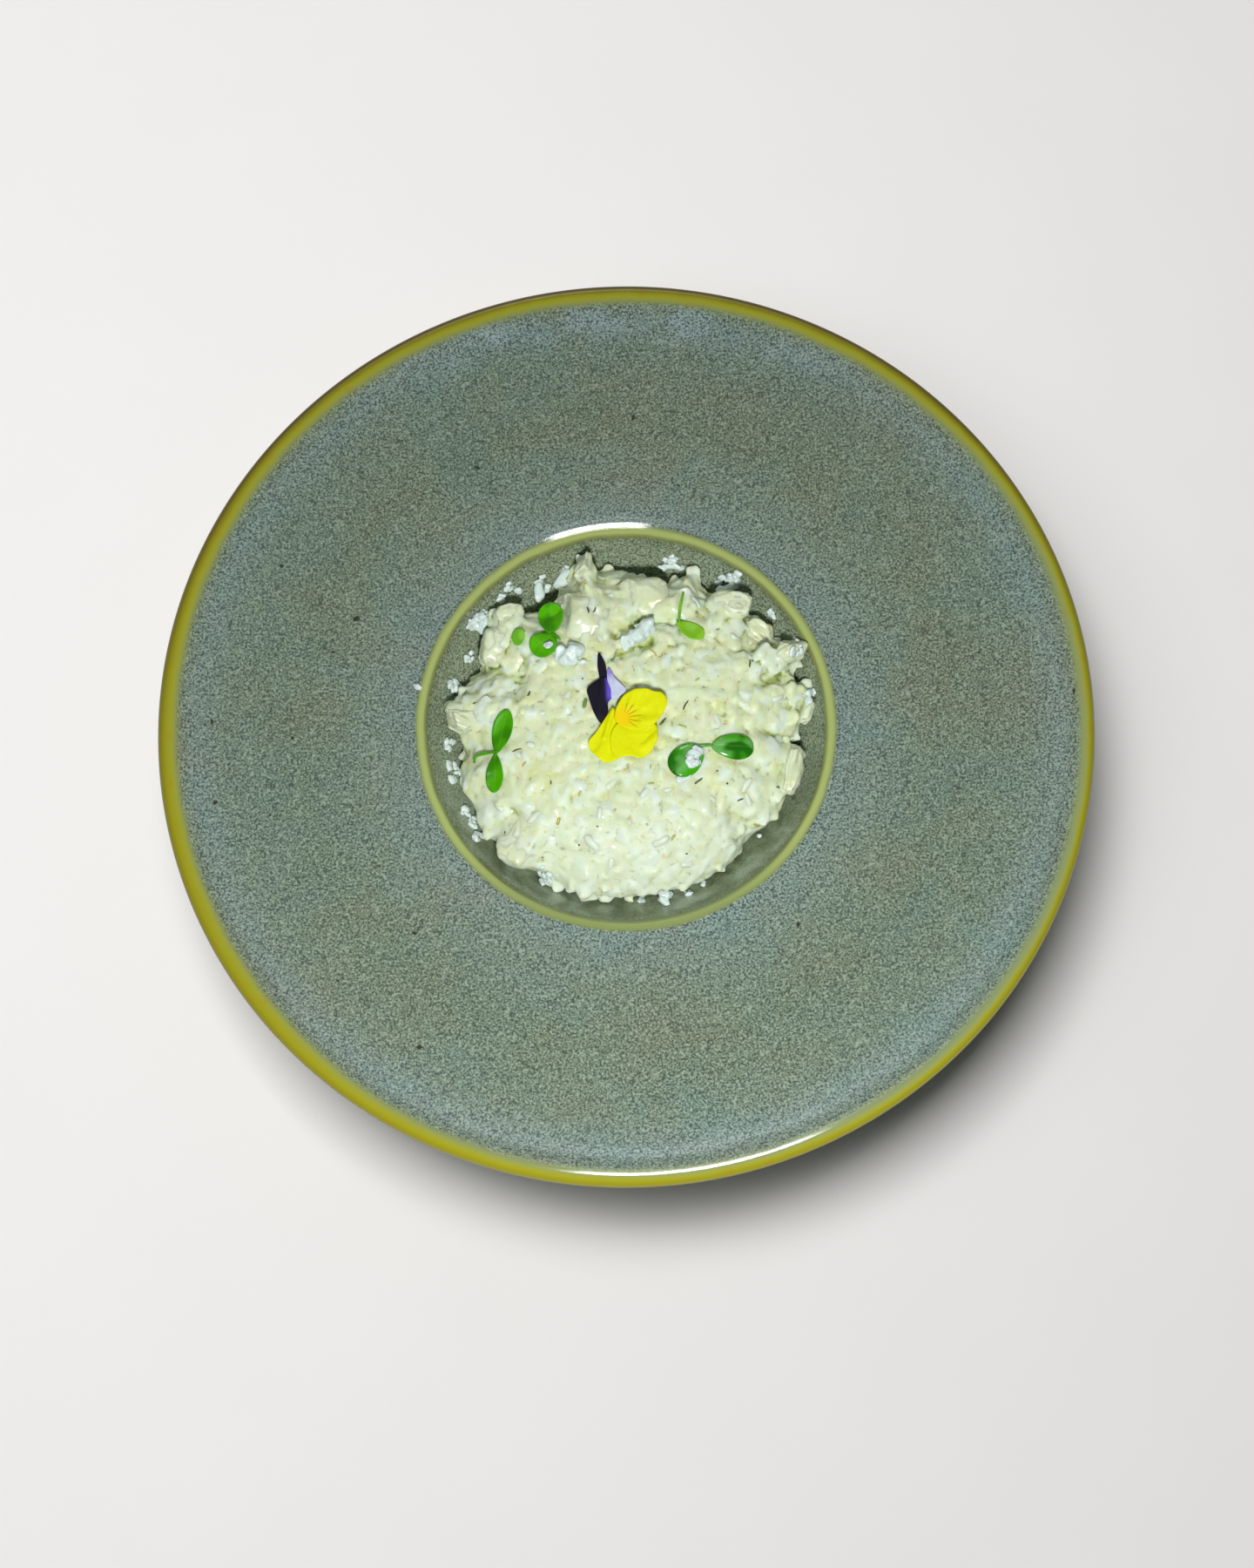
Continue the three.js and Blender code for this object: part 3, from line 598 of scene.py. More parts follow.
def chicken_material():
    """Cooked chicken under cream, with fibres along its length."""
    shader = Shader("chicken")
    meat = shader.ramp(shader.noise(5, 3, 0.6), (0.35, (210, 220, 180)), (0.55, (214, 225, 194)),
                       (0.7, (214, 227, 204)))
    # olive in hollows: partly sauce, partly painted shade
    crease = shader.attribute("crease").step(0.1, 0.8, 0.0, 0.7)
    colour = shader.paint(meat, (shader.attribute("fibre") * 0.3, (198, 200, 152)),
                          (crease, (148, 162, 72)))
    shader.set(Base_Color=colour, Roughness=0.28, IOR=1.42)
    shader.soften(0.7, 1.8, CREAM_REACH)
    shader.bump(shader.noise(0.9, 3), 0.07)
    return shader.material


def leaf_material(name, body, shade, painted_sheen=None):
    """A fresh leaf with darker patches and a faint midrib; a painted sheen, standing for a reflection, may
    pale its middle.
    """
    shader = Shader(name)
    side = shader.math("ABSOLUTE", shader.attribute("across"))
    patch = shader.noise(6.0, 1)
    colour = shader.mix(patch.step(0.40, 0.62), body, shade)
    # painted reflection: a pale grey-green sheen over the middle of the leaf
    if painted_sheen:
        colour = shader.mix(side.step(0.75, 0.25) * patch.step(0.60, 0.42) * 0.75, colour, painted_sheen)
    midrib = side.step(0.07, 0.0)
    colour = shader.mix(midrib * 0.12, colour, (150, 205, 90))
    shader.set(Base_Color=colour, Roughness=0.2 if painted_sheen else 0.34, IOR=1.45 if painted_sheen else 1.3)
    shader.soften(0.2, 0.8, (0.6, 1.0, 0.2))
    shader.bump(midrib + shader.noise(2.0), 0.06)
    return shader.material


def throat_marks(shader, colour):
    """An orange glow at the throat and thin dark lines that fan out from it."""
    along = shader.attribute("along")
    sideways = shader.attribute("across") * 0.45
    far = shader.math("SQRT", along * along + sideways * sideways)
    angle = shader.math("ARCTAN2", sideways, along)
    ahead = shader.math("ABSOLUTE", angle).step(1.3, 0.9)
    lines = shader.math("SINE", angle * 17.0).step(0.45, 0.95)
    reach = far + shader.noise(1.6, 1) * 0.16
    lines = lines * ahead * reach.step(0.52, 0.34) * far.step(0.08, 0.16)
    glow = far.step(0.38, 0.05, 0.0, 0.8)
    return shader.paint(colour, (glow, (240, 200, 0)), (lines * 0.6, (120, 96, 0)))


def violet_edge(shader, colour):
    """The upper right edge of the wide dark petal is violet."""
    edge = shader.attribute("across").step(-0.22, -0.62) * shader.attribute("along").step(0.35, 0.6)
    return shader.mix(edge, colour, (96, 78, 200))


def violet_tip(shader, colour):
    return shader.mix(shader.attribute("along").step(0.5, 0.9), colour, (150, 138, 226))


def petal_material(name, body, shade, marks=None):
    """A soft, nearly matt petal; marks is a function that paints over its colour."""
    shader = Shader(name)
    veins = shader.noise(1.2)
    colour = shader.mix(veins.step(0.4, 0.7, 0.0, 0.35), body, shade)
    if marks:
        colour = marks(shader, colour)
    shader.set(Base_Color=colour, Roughness=0.6, Specular_IOR_Level=0.15)
    shader.soften(0.15, 0.6, (1.0, 0.9, 0.3))
    shader.bump(veins, 0.05)
    return shader.material


# ---- plate ----------------------------------------------------------------

def plate_top():
    """The upper face as (radius, height), from the middle to the start of the lip."""
    ring, high = PLATE["ring_radius"], PLATE["ring_height"]
    low, floor = PLATE["floor_height"], PLATE["floor_radius"]
    lip_top = PLATE["lip_height"] + PLATE["lip_thickness"] / 2
    return [
        (0, low), (floor * 0.7, low + 0.2), (floor, low + 1.2), *PLATE["wall"],
        (ring - 1.6, high - 1.2), (ring - 0.6, high - 0.18), (ring + 0.2, high), (ring + 0.9, high - 0.12),
        (ring + 2.0, high - 0.34), (ring + 3.4, high - 0.52), (ring + 8, high - 0.6),
        (ring + 30, high + 0.9), (115, high + 3), (129, high + 5.3),
        (PLATE["radius"] - 5.0, lip_top - 0.9),
    ]


def lip_arc(first_degrees, last_degrees, count):
    half = PLATE["lip_thickness"] / 2
    angles = np.radians(np.linspace(first_degrees, last_degrees, count))
    return [(PLATE["radius"] - half + half * math.cos(a), PLATE["lip_height"] + half * math.sin(a))
            for a in angles]


def plate_profile():
    """Half the plate's section: from the floor's middle out over the lip and back under."""
    foot, width, rise = PLATE["foot_radius"], PLATE["foot_width"], PLATE["foot_rise"]
    inside = foot - width
    top = open_curve(plate_top(), 8)
    under = open_curve((*PLATE["underside"], (foot + 1.4, 4.4)), 5)
    foot_ring = [(foot + 0.3, 1.2), (foot, 0.5), (foot - 0.5, 0), (inside + 0.5, 0), (inside, 0.5),
                 (inside - 0.4, 1.6), (inside - 1.6, rise), (20, rise), (0, rise)]
    return np.vstack([top, lip_arc(112, -75, 16), under, foot_ring])


def build_plate():
    profile = plate_profile()
    inner = profile[1:-1]
    count = PLATE["segments"]
    angles = 2 * math.pi * np.arange(count) / count
    rings = np.stack([
        np.outer(inner[:, 0], np.cos(angles)),
        np.outer(inner[:, 0], np.sin(angles)),
        np.repeat(inner[:, 1:], count, axis=1),
    ], axis=-1).reshape(-1, 3)
    points = np.vstack([(0, 0, profile[0, 1]), rings, (0, 0, profile[-1, 1])])
    faces = turned_over(pole_to_pole(count, len(inner)))
    plate = mesh_object("stoneware_plate", points, faces, glaze_material())
    plate.data.materials.append(clay_material())
    for polygon in plate.data.polygons:
        polygon.material_index = int(polygon.center.z < PLATE["bare_below"] * MM)
    dress(plate, "stoneware_glaze", "plate")
    return plate


PLATE_TOP = np.array(plate_top())


def well_height(radius):
    return np.interp(radius, PLATE_TOP[:, 0], PLATE_TOP[:, 1])


# ---- the heap's form ------------------------------------------------------

def heap_reach(angle):
    """How far the heap reaches from its centre: an oval with lobes."""
    wide, deep = HEAP["half_width"], HEAP["half_depth"]
    reach = wide * deep / np.hypot(deep * np.cos(angle), wide * np.sin(angle))
    for lobe_angle, lobe_reach, spread in EDGE_LOBES:
        away = angle - math.radians(lobe_angle)
        away = np.arctan2(np.sin(away), np.cos(away))
        reach = reach + lobe_reach * np.exp(-(away / math.radians(spread)) ** 2)
    return reach


def dome_height(x, y, furthest=1.0):
    """The heap without creases or grains, level past the furthest fraction outwards."""
    dx, dy = x - HEAP["centre"][0], y - HEAP["centre"][1]
    angle = np.arctan2(dy, dx)
    reach = heap_reach(angle)
    out = np.minimum(furthest, np.hypot(dx, dy) / reach)
    edge = np.hypot(HEAP["centre"][0] + reach * np.cos(angle), HEAP["centre"][1] + reach * np.sin(angle))
    foot = well_height(edge) + HEAP["bed_gap"] + HEAP["edge_height"]
    return foot + (HEAP["peak"] - foot) * (1 - out ** HEAP["flatness"]) ** HEAP["shoulder"]


def folded_height(x, y, folds):
    """Soft ridges and creases, each given as from, to, width and height."""
    total = 0.0
    for (x0, y0), (x1, y1), width, height in folds:
        run_x, run_y = x1 - x0, y1 - y0
        along = np.clip(((x - x0) * run_x + (y - y0) * run_y) / (run_x ** 2 + run_y ** 2), 0, 1)
        distance = np.hypot(x - x0 - run_x * along, y - y0 - run_y * along)
        total = total + height * np.exp(-(distance / width) ** 2)
    return total


def heap_height(x, y):
    return dome_height(x, y) + folded_height(x, y, RELIEF)


def rest_height(x, y):
    """Where the underside of a leaf or petal rests, level past the heap's outer part."""
    return dome_height(x, y, BLADE_FURTHEST) + BLADE_LIFT


def core_mesh(sectors=240, rings=64, sunk=0.8, inset=0.8):
    """The heap's bare core, a fine dome on the plate's well: its points, its faces and
    how many of the points lie on top."""
    centre_x, centre_y = HEAP["centre"]
    angles = 2 * math.pi * np.arange(sectors) / sectors
    reach = heap_reach(angles) - inset
    top = [1 - (1 - i / rings) ** 1.15 for i in range(1, rings + 1)]
    bottom = [1.0, 0.92, 0.6, 0.3]
    points = [(centre_x, centre_y, float(heap_height(centre_x, centre_y)) - sunk)]
    for index, out in enumerate(top + bottom):
        x, y = centre_x + out * reach * np.cos(angles), centre_y + out * reach * np.sin(angles)
        bed = well_height(np.hypot(x, y)) + HEAP["bed_gap"]
        points.extend(zip(x, y, heap_height(x, y) - sunk if index < rings else bed))
    points.append((centre_x, centre_y, PLATE["floor_height"] + HEAP["bed_gap"]))
    faces = turned_over(pole_to_pole(sectors, rings + len(bottom)))
    return np.array(points), faces, rings * sectors + 1


def scatter_on(points, faces, top_count, candidates, gap, rng):
    """Places on the core's upper face at least gap apart, each with its normal."""
    quads = np.array([f for f in faces if len(f) == 4 and max(f) < top_count])
    a, b, d = points[quads[:, 0]], points[quads[:, 1]], points[quads[:, 3]]
    cross = np.cross(b - a, d - a)
    area = np.linalg.norm(cross, axis=1)
    pick = rng.choice(len(quads), size=candidates, p=area / area.sum())
    u, v = rng.random((2, candidates, 1))
    spots = a[pick] + u * (b - a)[pick] + v * (d - a)[pick]
    normals = cross[pick] / area[pick, None]
    cells = {}
    kept = []
    for index, spot in enumerate(spots):
        cell = tuple((spot // gap).astype(int))
        near = [other for dx in (-1, 0, 1) for dy in (-1, 0, 1) for dz in (-1, 0, 1)
                for other in cells.get((cell[0] + dx, cell[1] + dy, cell[2] + dz), ())]
        if all(np.linalg.norm(spots[other] - spot) >= gap for other in near):
            cells.setdefault(cell, []).append(index)
            kept.append(index)
    return spots[kept], normals[kept]


def laid_on(shape, spot, normal, turn, sink):
    """A shape laid flat on a slope: turned about the normal and sunk in."""
    side = np.array((math.cos(turn), math.sin(turn), 0.0))
    side -= normal * side.dot(normal)
    side /= np.linalg.norm(side)
    other = np.cross(normal, side)
    return shape @ np.stack([side, other, normal]) + spot - normal * sink


class Joined:
    """Many small closed shapes gathered into one list of points and faces."""

    def __init__(self):
        self.points = []
        self.tints = []
        self.faces = []
        self.total = 0

    def add(self, points, faces, tint=0.0):
        self.points.append(points)
        self.tints.append(np.full(len(points), tint))
        self.faces.extend(tuple(index + self.total for index in face) for face in faces)
        self.total += len(points)

    def all_points(self):
        return np.vstack(self.points)

    def all_tints(self):
        return np.concatenate(self.tints)


# ---- grains, flakes and lumps ---------------------------------------------

def squared(base, power):
    """A ball's points pushed out towards a box: power 2 is a ball, 4 is boxy."""
    return base * (np.abs(base) ** power).sum(axis=1, keepdims=True) ** (-1 / power)


def cut_flat(points, rng, cuts, nearest, furthest):
    """Shaves flat faces, some way from the middle, off a shape of half size 1."""
    for _ in range(cuts):
        normal = rng.normal(size=3)
        normal /= np.linalg.norm(normal)
        over = np.maximum(0, points @ normal - rng.uniform(nearest, furthest))
        points = points - over[:, None] * normal
    return points


def small_shapes(rng, count, ball, square, draw_size, wobbles, cuts=None, bend=0.0):
    """Small uneven things as points and faces: balls pushed out square, cut or bent.
    wobbles are the size of their dents, their first seed and how deep they go."""
    base, faces = unit_sphere(*ball)
    feature, seed, strength = wobbles
    shapes = []
    for index in range(count):
        half = np.array(draw_size()) / 2
        points = squared(base, square)
        if cuts:
            points = cut_flat(points, rng, *cuts)
        points = points * half
        if bend:
            points[:, 1] += rng.uniform(-bend, bend) * points[:, 0] ** 2
        shapes.append((points + wobble(points, feature, seed + index, strength), faces))
    return shapes


def rice_shapes(rng, count=12):
    """Plump cooked grains, slightly bent."""
    def draw_size():
        return rng.uniform(*GRAIN_LENGTH), rng.uniform(*GRAIN_WIDTH), rng.uniform(*GRAIN_HEIGHT)
    return small_shapes(rng, count, (8, 7), 2.5, draw_size, (2.5, 1, 0.25), bend=0.05)


def chip_shapes(rng, length, depth, cuts, seed, count=16):
    """Torn or cut bits of chicken and clots of rice, with flat broken faces."""
    def draw_size():
        long = rng.uniform(*length)
        return long, long * rng.uniform(0.45, 0.85), rng.uniform(*depth)
    return small_shapes(rng, count, (16, 14), 3.6, draw_size, (2.6, seed, 0.6), (cuts, 0.5, 0.9))


def sliver_shapes(rng, length, width, depth, count):
    """Thin bits of herb, rind or peel, with uneven ends."""
    def draw_size():
        return rng.uniform(*length), rng.uniform(*width), depth
    return small_shapes(rng, count, (8, 7), 3.0, draw_size, (1.0, 200, 0.15), bend=0.12)


def crumb_shapes(rng, count=14):
    """Small soft bits of cheese, about 2 mm across."""
    def draw_size():
        return rng.uniform(2.0, 3.4), rng.uniform(1.5, 2.4), rng.uniform(1.0, 1.7)
    return small_shapes(rng, count, (12, 10), 2.4, draw_size, (0.9, 240, 0.4), (2, 0.6, 0.95))


def fibres(points, index):
    """Fine ridges that run along a piece, each piece with its own."""
    places = points / (7, 0.8, 0.9) + (0, index * 3.1, 0)
    return np.array([noise.noise(Vector(place)) for place in places])


def chicken_shape(index, around=72, along=48):
    """One of the large chicken pieces with its fibres, in its place."""
    (x, y), size, turn, tilt, rise, square = CHICKEN[index]
    rng = np.random.default_rng(SEED + 500 + index)
    base, faces = unit_sphere(around, along)
    points = cut_flat(squared(base, square), rng, 0 if index in SOFT_CHICKEN else 5, 0.75, 0.98)
    for azimuth, elevation, reach in CUTS.get(index, ()):
        facing = turn_matrix(azimuth, -elevation)[0]
        points = points - np.maximum(0, points @ facing - reach)[:, None] * facing
    points = points * (np.array(size) / 2)
    points = points + wobble(points, 6.0, 120 + index, 0.10 * size[1])
    points = points + wobble(points, 2.2, 160 + index, 0.35)
    fibre = fibres(points, index)
    points = points + base * fibre[:, None] * FIBRE_DEPTH[index]
    points = points @ turn_matrix(turn, tilt)
    middle = float(heap_height(x, y)) + size[2] * (rise - 0.5)
    return points + (x, y, middle), faces, fibre


# ---- the heap -------------------------------------------------------------

def softness(x, y):
    """1 where the heap is made of large soft lumps (far left), 0 where it is fine."""
    return 1 / (1 + np.exp(-(y * 0.9 - x * 0.3 - 9) / 7))


def scatter_pieces(joined, core, core_faces, top_count, rng):
    grains = rice_shapes(rng)
    chips = chip_shapes(rng, (3.2, 7.0), (1.8, 2.8), 7, 40)
    lumps = chip_shapes(rng, (6.0, 11.0), (3.4, 5.0), 7, 80)
    for spot, normal in zip(*scatter_on(core, core_faces, top_count, PLACE_TRIES, PIECE_GAP, rng)):
        soft = float(softness(spot[0], spot[1]))
        draw = rng.random()
        if draw < 0.04 + 0.24 * soft:
            shapes, sink, tint = lumps, rng.uniform(1.0, 2.2), rng.uniform(0.2, 0.7)
        elif draw < 0.80:
            shapes, sink, tint = chips, rng.uniform(0.1, 1.0), rng.random()
        else:
            shapes, sink, tint = grains, rng.uniform(0.2, 0.9), rng.uniform(0.0, 0.5)
        points, faces = shapes[rng.integers(len(shapes))]
        points = points @ turn_matrix(0, rng.uniform(-10, 10))
        joined.add(laid_on(points, spot, normal, rng.uniform(0, 2 * math.pi), sink), faces, tint)


def scatter_edge(joined, rng):
    """Bits that hang over the heap's outline and make it ragged."""
    shapes = chip_shapes(rng, (3.6, 7.6), (2.0, 3.2), 6, 120) + rice_shapes(rng, 4)
    for step in range(EDGE_BITS):
        angle = 2 * math.pi * (step + rng.random()) / EDGE_BITS
        out = float(heap_reach(np.array(angle))) + rng.uniform(-4.5, 0.0)
        x = HEAP["centre"][0] + out * math.cos(angle)
        y = HEAP["centre"][1] + out * math.sin(angle)
        low, high = well_height(math.hypot(x, y)) + 1.8, float(dome_height(x, y))
        points, faces = shapes[rng.integers(len(shapes))]
        points = points @ turn_matrix(math.degrees(angle) + rng.uniform(-80, 80), rng.uniform(-18, 18))
        z = max(low, low + (high - low) * rng.random())
        joined.add(points + (x, y, z), faces, rng.uniform(0.1, 0.9))


def build_heap(material):
    rng = np.random.default_rng(SEED)
    core, core_faces, top_count = core_mesh()
    joined = Joined()
    joined.add(core, core_faces, 0.9)
    scatter_pieces(joined, core, core_faces, top_count, rng)
    scatter_edge(joined, rng)
    for index in range(len(CHICKEN)):
        points, faces, _ = chicken_shape(index, 28, 20)
        middle = points.mean(axis=0)
        cover = 1.0 if index in UNDER_CREAM else 0.80
        points = middle + (points - middle) * (1.05, 1.05, cover)
        joined.add(points, faces, 0.5)

    heap = mesh_object("risotto_heap", joined.all_points(), joined.faces, material)
    grow_together(heap, HEAP_VOXEL)
    carry_tints(heap.data, joined)
    make_creamy(heap.data)
    fewer = heap.modifiers.new("fewer_faces", "DECIMATE")
    fewer.ratio = FACES_KEPT
    apply_modifiers(heap)
    press_under_garnish(heap.data)
    keep_above_plate(heap.data)
    dress(heap, "risotto", "risotto")
    return heap


def carry_tints(mesh, joined):
    """Gives each point of the skin the tint of the piece that it lies on."""
    source, tints = joined.all_points(), joined.all_tints()
    tree = KDTree(len(source))
    for index, point in enumerate(source):
        tree.insert(point, index)
    tree.balance()
    nearest = [tree.find(point)[1] for point in points_of(mesh)]
    set_attribute(mesh, "tint", relaxed(tints[nearest][:, None], edges_of(mesh), 1)[:, 0])


def clots(points, size, seed):
    """Puffy clots about a size across, 0 in the thin creases between them."""
    offset = Vector((seed * 7.3, seed * 3.9, seed * 1.7))
    heights = []
    for point in points:
        place = Vector(point) / size + offset
        place += noise.noise_vector(place * 1.3) * 0.45
        heights.append(abs(noise.noise(place)))
    return np.array(heights)


def calm_at(x, y):
    """1 in the middle of a calm spot, 0 well away from all of them."""
    return np.max([np.exp(-((x - spot_x) ** 2 + (y - spot_y) ** 2) / reach ** 2)
                   for spot_x, spot_y, reach in CALM_SPOTS], axis=0)


def make_creamy(mesh):
    """Softens a skin, fills its creases with cream, more so at the front than at the
    back, and breaks it up into clots. Keeps how sharp a crease was and how far a
    place lies below those round it."""
    points, edges = points_of(mesh), edges_of(mesh)
    points = relaxed(points, edges, 1)
    set_points(mesh, points)
    normals = normals_of(mesh)
    depth = ((relaxed(points, edges, 9) - points) * normals).sum(axis=1)
    front = 1 / (1 + np.exp((points[:, 1] - 6) / 9))
    fill, shave = 0.50 + 0.38 * front, 0.30 + 0.35 * front
    points = points + normals * (depth * np.where(depth > 0, fill, shave))[:, None]

    coarse, fine = clots(points, 4.6, 1), clots(points, 2.2, 2)
    raised = (1.5 - 0.7 * front) * (coarse - 0.2) + (0.45 - 0.3 * front) * (fine - 0.2)
    calm = calm_at(points[:, 0], points[:, 1])
    points = relaxed(points + normals * (raised * (1 - 0.6 * calm))[:, None], edges, 2)
    points += (relaxed(points, edges, 10) - points) * (0.8 * calm)[:, None]
    set_points(mesh, points)

    parting = (1 - calm) * (np.clip(1 - coarse / 0.05, 0, 1) + 0.3 * np.clip(1 - fine / 0.05, 0, 1))
    set_attribute(mesh, "crease", np.clip(0.7 * depth / 0.34 + 0.6 * parting, 0, 1))
    hollow = ((relaxed(points, edges, 30) - points) * normals).sum(axis=1, keepdims=True)
    set_attribute(mesh, "hollow", np.clip(relaxed(hollow, edges, 1)[:, 0] / 0.7, 0, 1))


def garnish_strips():
    """Everything thin that rests on the heap, as base, tip and width."""
    for sprig in SPRIGS.values():
        for base, tip, width, *_ in sprig["leaves"]:
            yield base, tip, width
        for base, tip in zip(sprig["stem"], sprig["stem"][1:]):
            yield base, tip, 2 * STEM_RADIUS
    for petal in PETALS.values():
        base, tip = petal["spine"]
        yield base, tip, petal["width"]


def clear_of_garnish(places):
    """How far each place (x, y) lies from the nearest sprig or petal."""
    clear = np.full(len(places), np.inf)
    for base, tip, width in garnish_strips():
        start, direction, left, length = blade_frame(base, tip)
        along = (places - start) @ direction
        across = np.abs((places - start) @ left)
        past = np.maximum(0, np.maximum(-along, along - length))
        beside = np.maximum(0, across - width / 2)
        clear = np.minimum(clear, np.hypot(past, beside))
    return clear


def press_under_garnish(mesh):
    """Presses the heap down where a sprig or petal rests on it."""
    points = points_of(mesh)
    clear = clear_of_garnish(points[:, :2])
    level = rest_height(points[:, 0], points[:, 1])
    ceiling = level - 0.25 + 0.4 * clear + 0.5 * clear ** 2
    points[:, 2] = np.minimum(points[:, 2], ceiling)
    set_points(mesh, points)


def keep_above_plate(mesh):
    points = points_of(mesh)
    floor = well_height(np.hypot(points[:, 0], points[:, 1])) + 0.15
    points[:, 2] = np.maximum(points[:, 2], floor)
    set_points(mesh, points)


def build_chicken(material):
    pieces = []
    for index in range(len(CHICKEN)):
        points, faces, fibre = chicken_shape(index)
        piece = mesh_object(f"chicken_piece_{index + 1}", points, faces, material)
        set_attribute(piece.data, "fibre", np.clip(0.5 - fibre, 0, 1))
        edges = edges_of(piece.data)
        hollow = ((relaxed(points, edges, 14) - points) * normals_of(piece.data)).sum(axis=1)
        set_attribute(piece.data, "crease", np.clip(hollow / 0.5, 0, 1))
        press_under_garnish(piece.data)
        keep_above_plate(piece.data)
        dress(piece, "chicken", f"chicken_{index + 1}")
        pieces.append(piece)
    return pieces


# ---- small things strewn over the heap ------------------------------------

def camera_back():
    """The direction from what the camera looks at to the camera."""
    elevation = math.radians(CAMERA["elevation"])
    return Vector((0, -math.cos(elevation), math.sin(elevation)))


def camera_place():
    return Vector(CAMERA["aim"]) + camera_back() * CAMERA["distance"]


class Ground:
    """What small things land on: finds the spot that the camera sees at a place."""

    def __init__(self, pieces):
        points, faces = [], []
        for piece in pieces:
            start = len(points)
            points.extend(points_of(piece.data).tolist())
            faces.extend([index + start for index in face.vertices] for face in piece.data.polygons)
        self.tree = BVHTree.FromPolygons(points, faces)

    def seen(self, x, y):
        eye = camera_place()
        place, normal, _, _ = self.tree.ray_cast(eye, Vector((x, y, SEEN_HEIGHT)) - eye)
        return np.array(place), np.array(normal)


def strew(name, ground, spots, shapes, material, slot, rng, sink=0.4, size=(0.8, 1.2)):
    """Lays one shape at each spot (x, y, turn), sunk by a part of its thickness."""
    joined = Joined()
    for x, y, turn in spots:
        spot, normal = ground.seen(x, y)
        points, faces = shapes[rng.integers(len(shapes))]
        points = points * rng.uniform(*size)
        depth = np.ptp(points[:, 2]) * (sink - 0.5)
        joined.add(laid_on(points, spot, normal, math.radians(turn), depth), faces)
    piece = mesh_object(name, joined.all_points(), joined.faces, material)
    dress(piece, slot)
    return piece


def random_spots(rng, count, furthest=0.9, margin=3.0):
    """Spots spread evenly over the heap, as it is seen, clear of sprigs and petals."""
    spots = []
    while len(spots) < count:
        angle, out = rng.uniform(0, 2 * math.pi), math.sqrt(rng.random()) * furthest
        reach = float(heap_reach(np.array(angle))) * out
        x, y = reach * math.cos(angle), reach * math.sin(angle)
        if clear_of_garnish(np.array([(x, y - SEEN_DRIFT)]))[0] > margin:
            spots.append((x, y, rng.uniform(0, 360)))
    return spots


# Flecks: their size as length, width and depth, how far they are sunk, and those that can
# be told apart, where they are seen: x, y and turn in degrees.
FLECKS = {
    "olive_flecks": {
        "material": "herb_olive", "colours": ((184, 194, 96), (156, 168, 62)),
        "size": ((1.2, 2.6), (0.5, 1.2), 0.5), "sink": 0.72, "more": 3,
        "spots": ((-14.5, -21.5, 60), (7, -14, 80), (7, -19, 10), (32, -37, 70), (17, -1.5, 160),
                  (30, -0.5, 10), (-11, -38, 20), (-37, -33, 100), (22, 13, 30), (-4, -27, 40)),
    },
    "herb_bits": {
        "material": "herb_green", "colours": ((84, 92, 44), (58, 70, 36)),
        "size": ((1.4, 3.0), (0.4, 0.7), 0.5), "sink": 0.55,
        "spots": ((-23, -18, 80), (33.5, -25, 25), (45, -21.5, 0), (21, -19, 35), (-33, -7.5, 15),
                  (11, 0, 45), (-29, 10, 70), (-45.5, 7.5, 20), (38, 17.5, 80), (18, 5, 60),
                  (-10.5, 36, 100), (-8.5, 36, 60)),
    },
    "green_sepal": {
        "material": "sepal_green", "colours": ((122, 150, 66), (96, 128, 48)),
        "size": ((3.6, 3.8), (1.3, 1.4), 0.6), "kinds": 1, "sink": 0.3,
        "spots": ((-12.3, 6.4, 75),),
    },
    "browned_bits": {
        "material": "browned_skin", "colours": ((192, 180, 84), (168, 148, 56)), "roughness": 0.35,
        "slot": "chicken", "size": ((1.8, 3.4), (0.5, 1.0), 0.6), "sink": 0.55,
        "spots": ((-12, 44.5, 20), (-21, -30, 70), (13, -36, 60), (38, -33, 120), (14, 23.5, 160),
                  (9, 22, 130), (-31, -12, 50)),
    },
    "pepper_specks": {
        "material": "pepper_grey", "colours": ((66, 62, 50), (44, 42, 34)), "roughness": 0.6,
        "size": ((0.4, 0.7), (0.4, 0.6), 0.4), "sink": 0.4, "more": 5,
        "spots": ((-15, -37.5, 0), (17, -41, 0), (-37, -33, 0), (-26, -41, 0)),
    },
}


def build_flecks(ground):
    rng = np.random.default_rng(SEED + 700)
    for name, fleck in FLECKS.items():
        spots = list(fleck["spots"]) + random_spots(rng, fleck.get("more", 0), margin=0.5)
        shapes = sliver_shapes(rng, *fleck["size"], fleck.get("kinds", 6))
        material = mottled_material(fleck["material"], fleck["colours"], fleck.get("roughness", 0.4))
        strew(name, ground, spots, shapes, material, fleck.get("slot", "risotto"), rng, fleck["sink"])


def build_loose_grains(ground, material):
    rng = np.random.default_rng(SEED + 800)
    strew("loose_rice", ground, random_spots(rng, 24, 0.93), rice_shapes(rng), material, "risotto", rng,
          sink=0.88, size=(0.75, 1.0))


# ---- cheese ---------------------------------------------------------------

def cheese_parts(size, count, rng):
    """The rounded parts that a lump is broken from, in a row along its length."""
    wide = min(5.5, size[1])
    long = max(wide * 0.9, size[0] / count * 1.15)
    shapes = chip_shapes(rng, (long * 0.8, long * 1.2), (size[2] * 0.6, size[2] * 0.9), 2, 300, count)
    room = np.maximum(0.0, np.array(size) / 2 - (wide * 0.4, wide * 0.32, size[2] * 0.33))
    for index, (points, faces) in enumerate(shapes):
        along = 2 * index / (count - 1) - 1
        spot = room * (along, rng.uniform(-1, 1), rng.uniform(-0.6, 1))
        yield points @ turn_matrix(rng.uniform(0, 360), rng.uniform(-40, 40)) + spot, faces


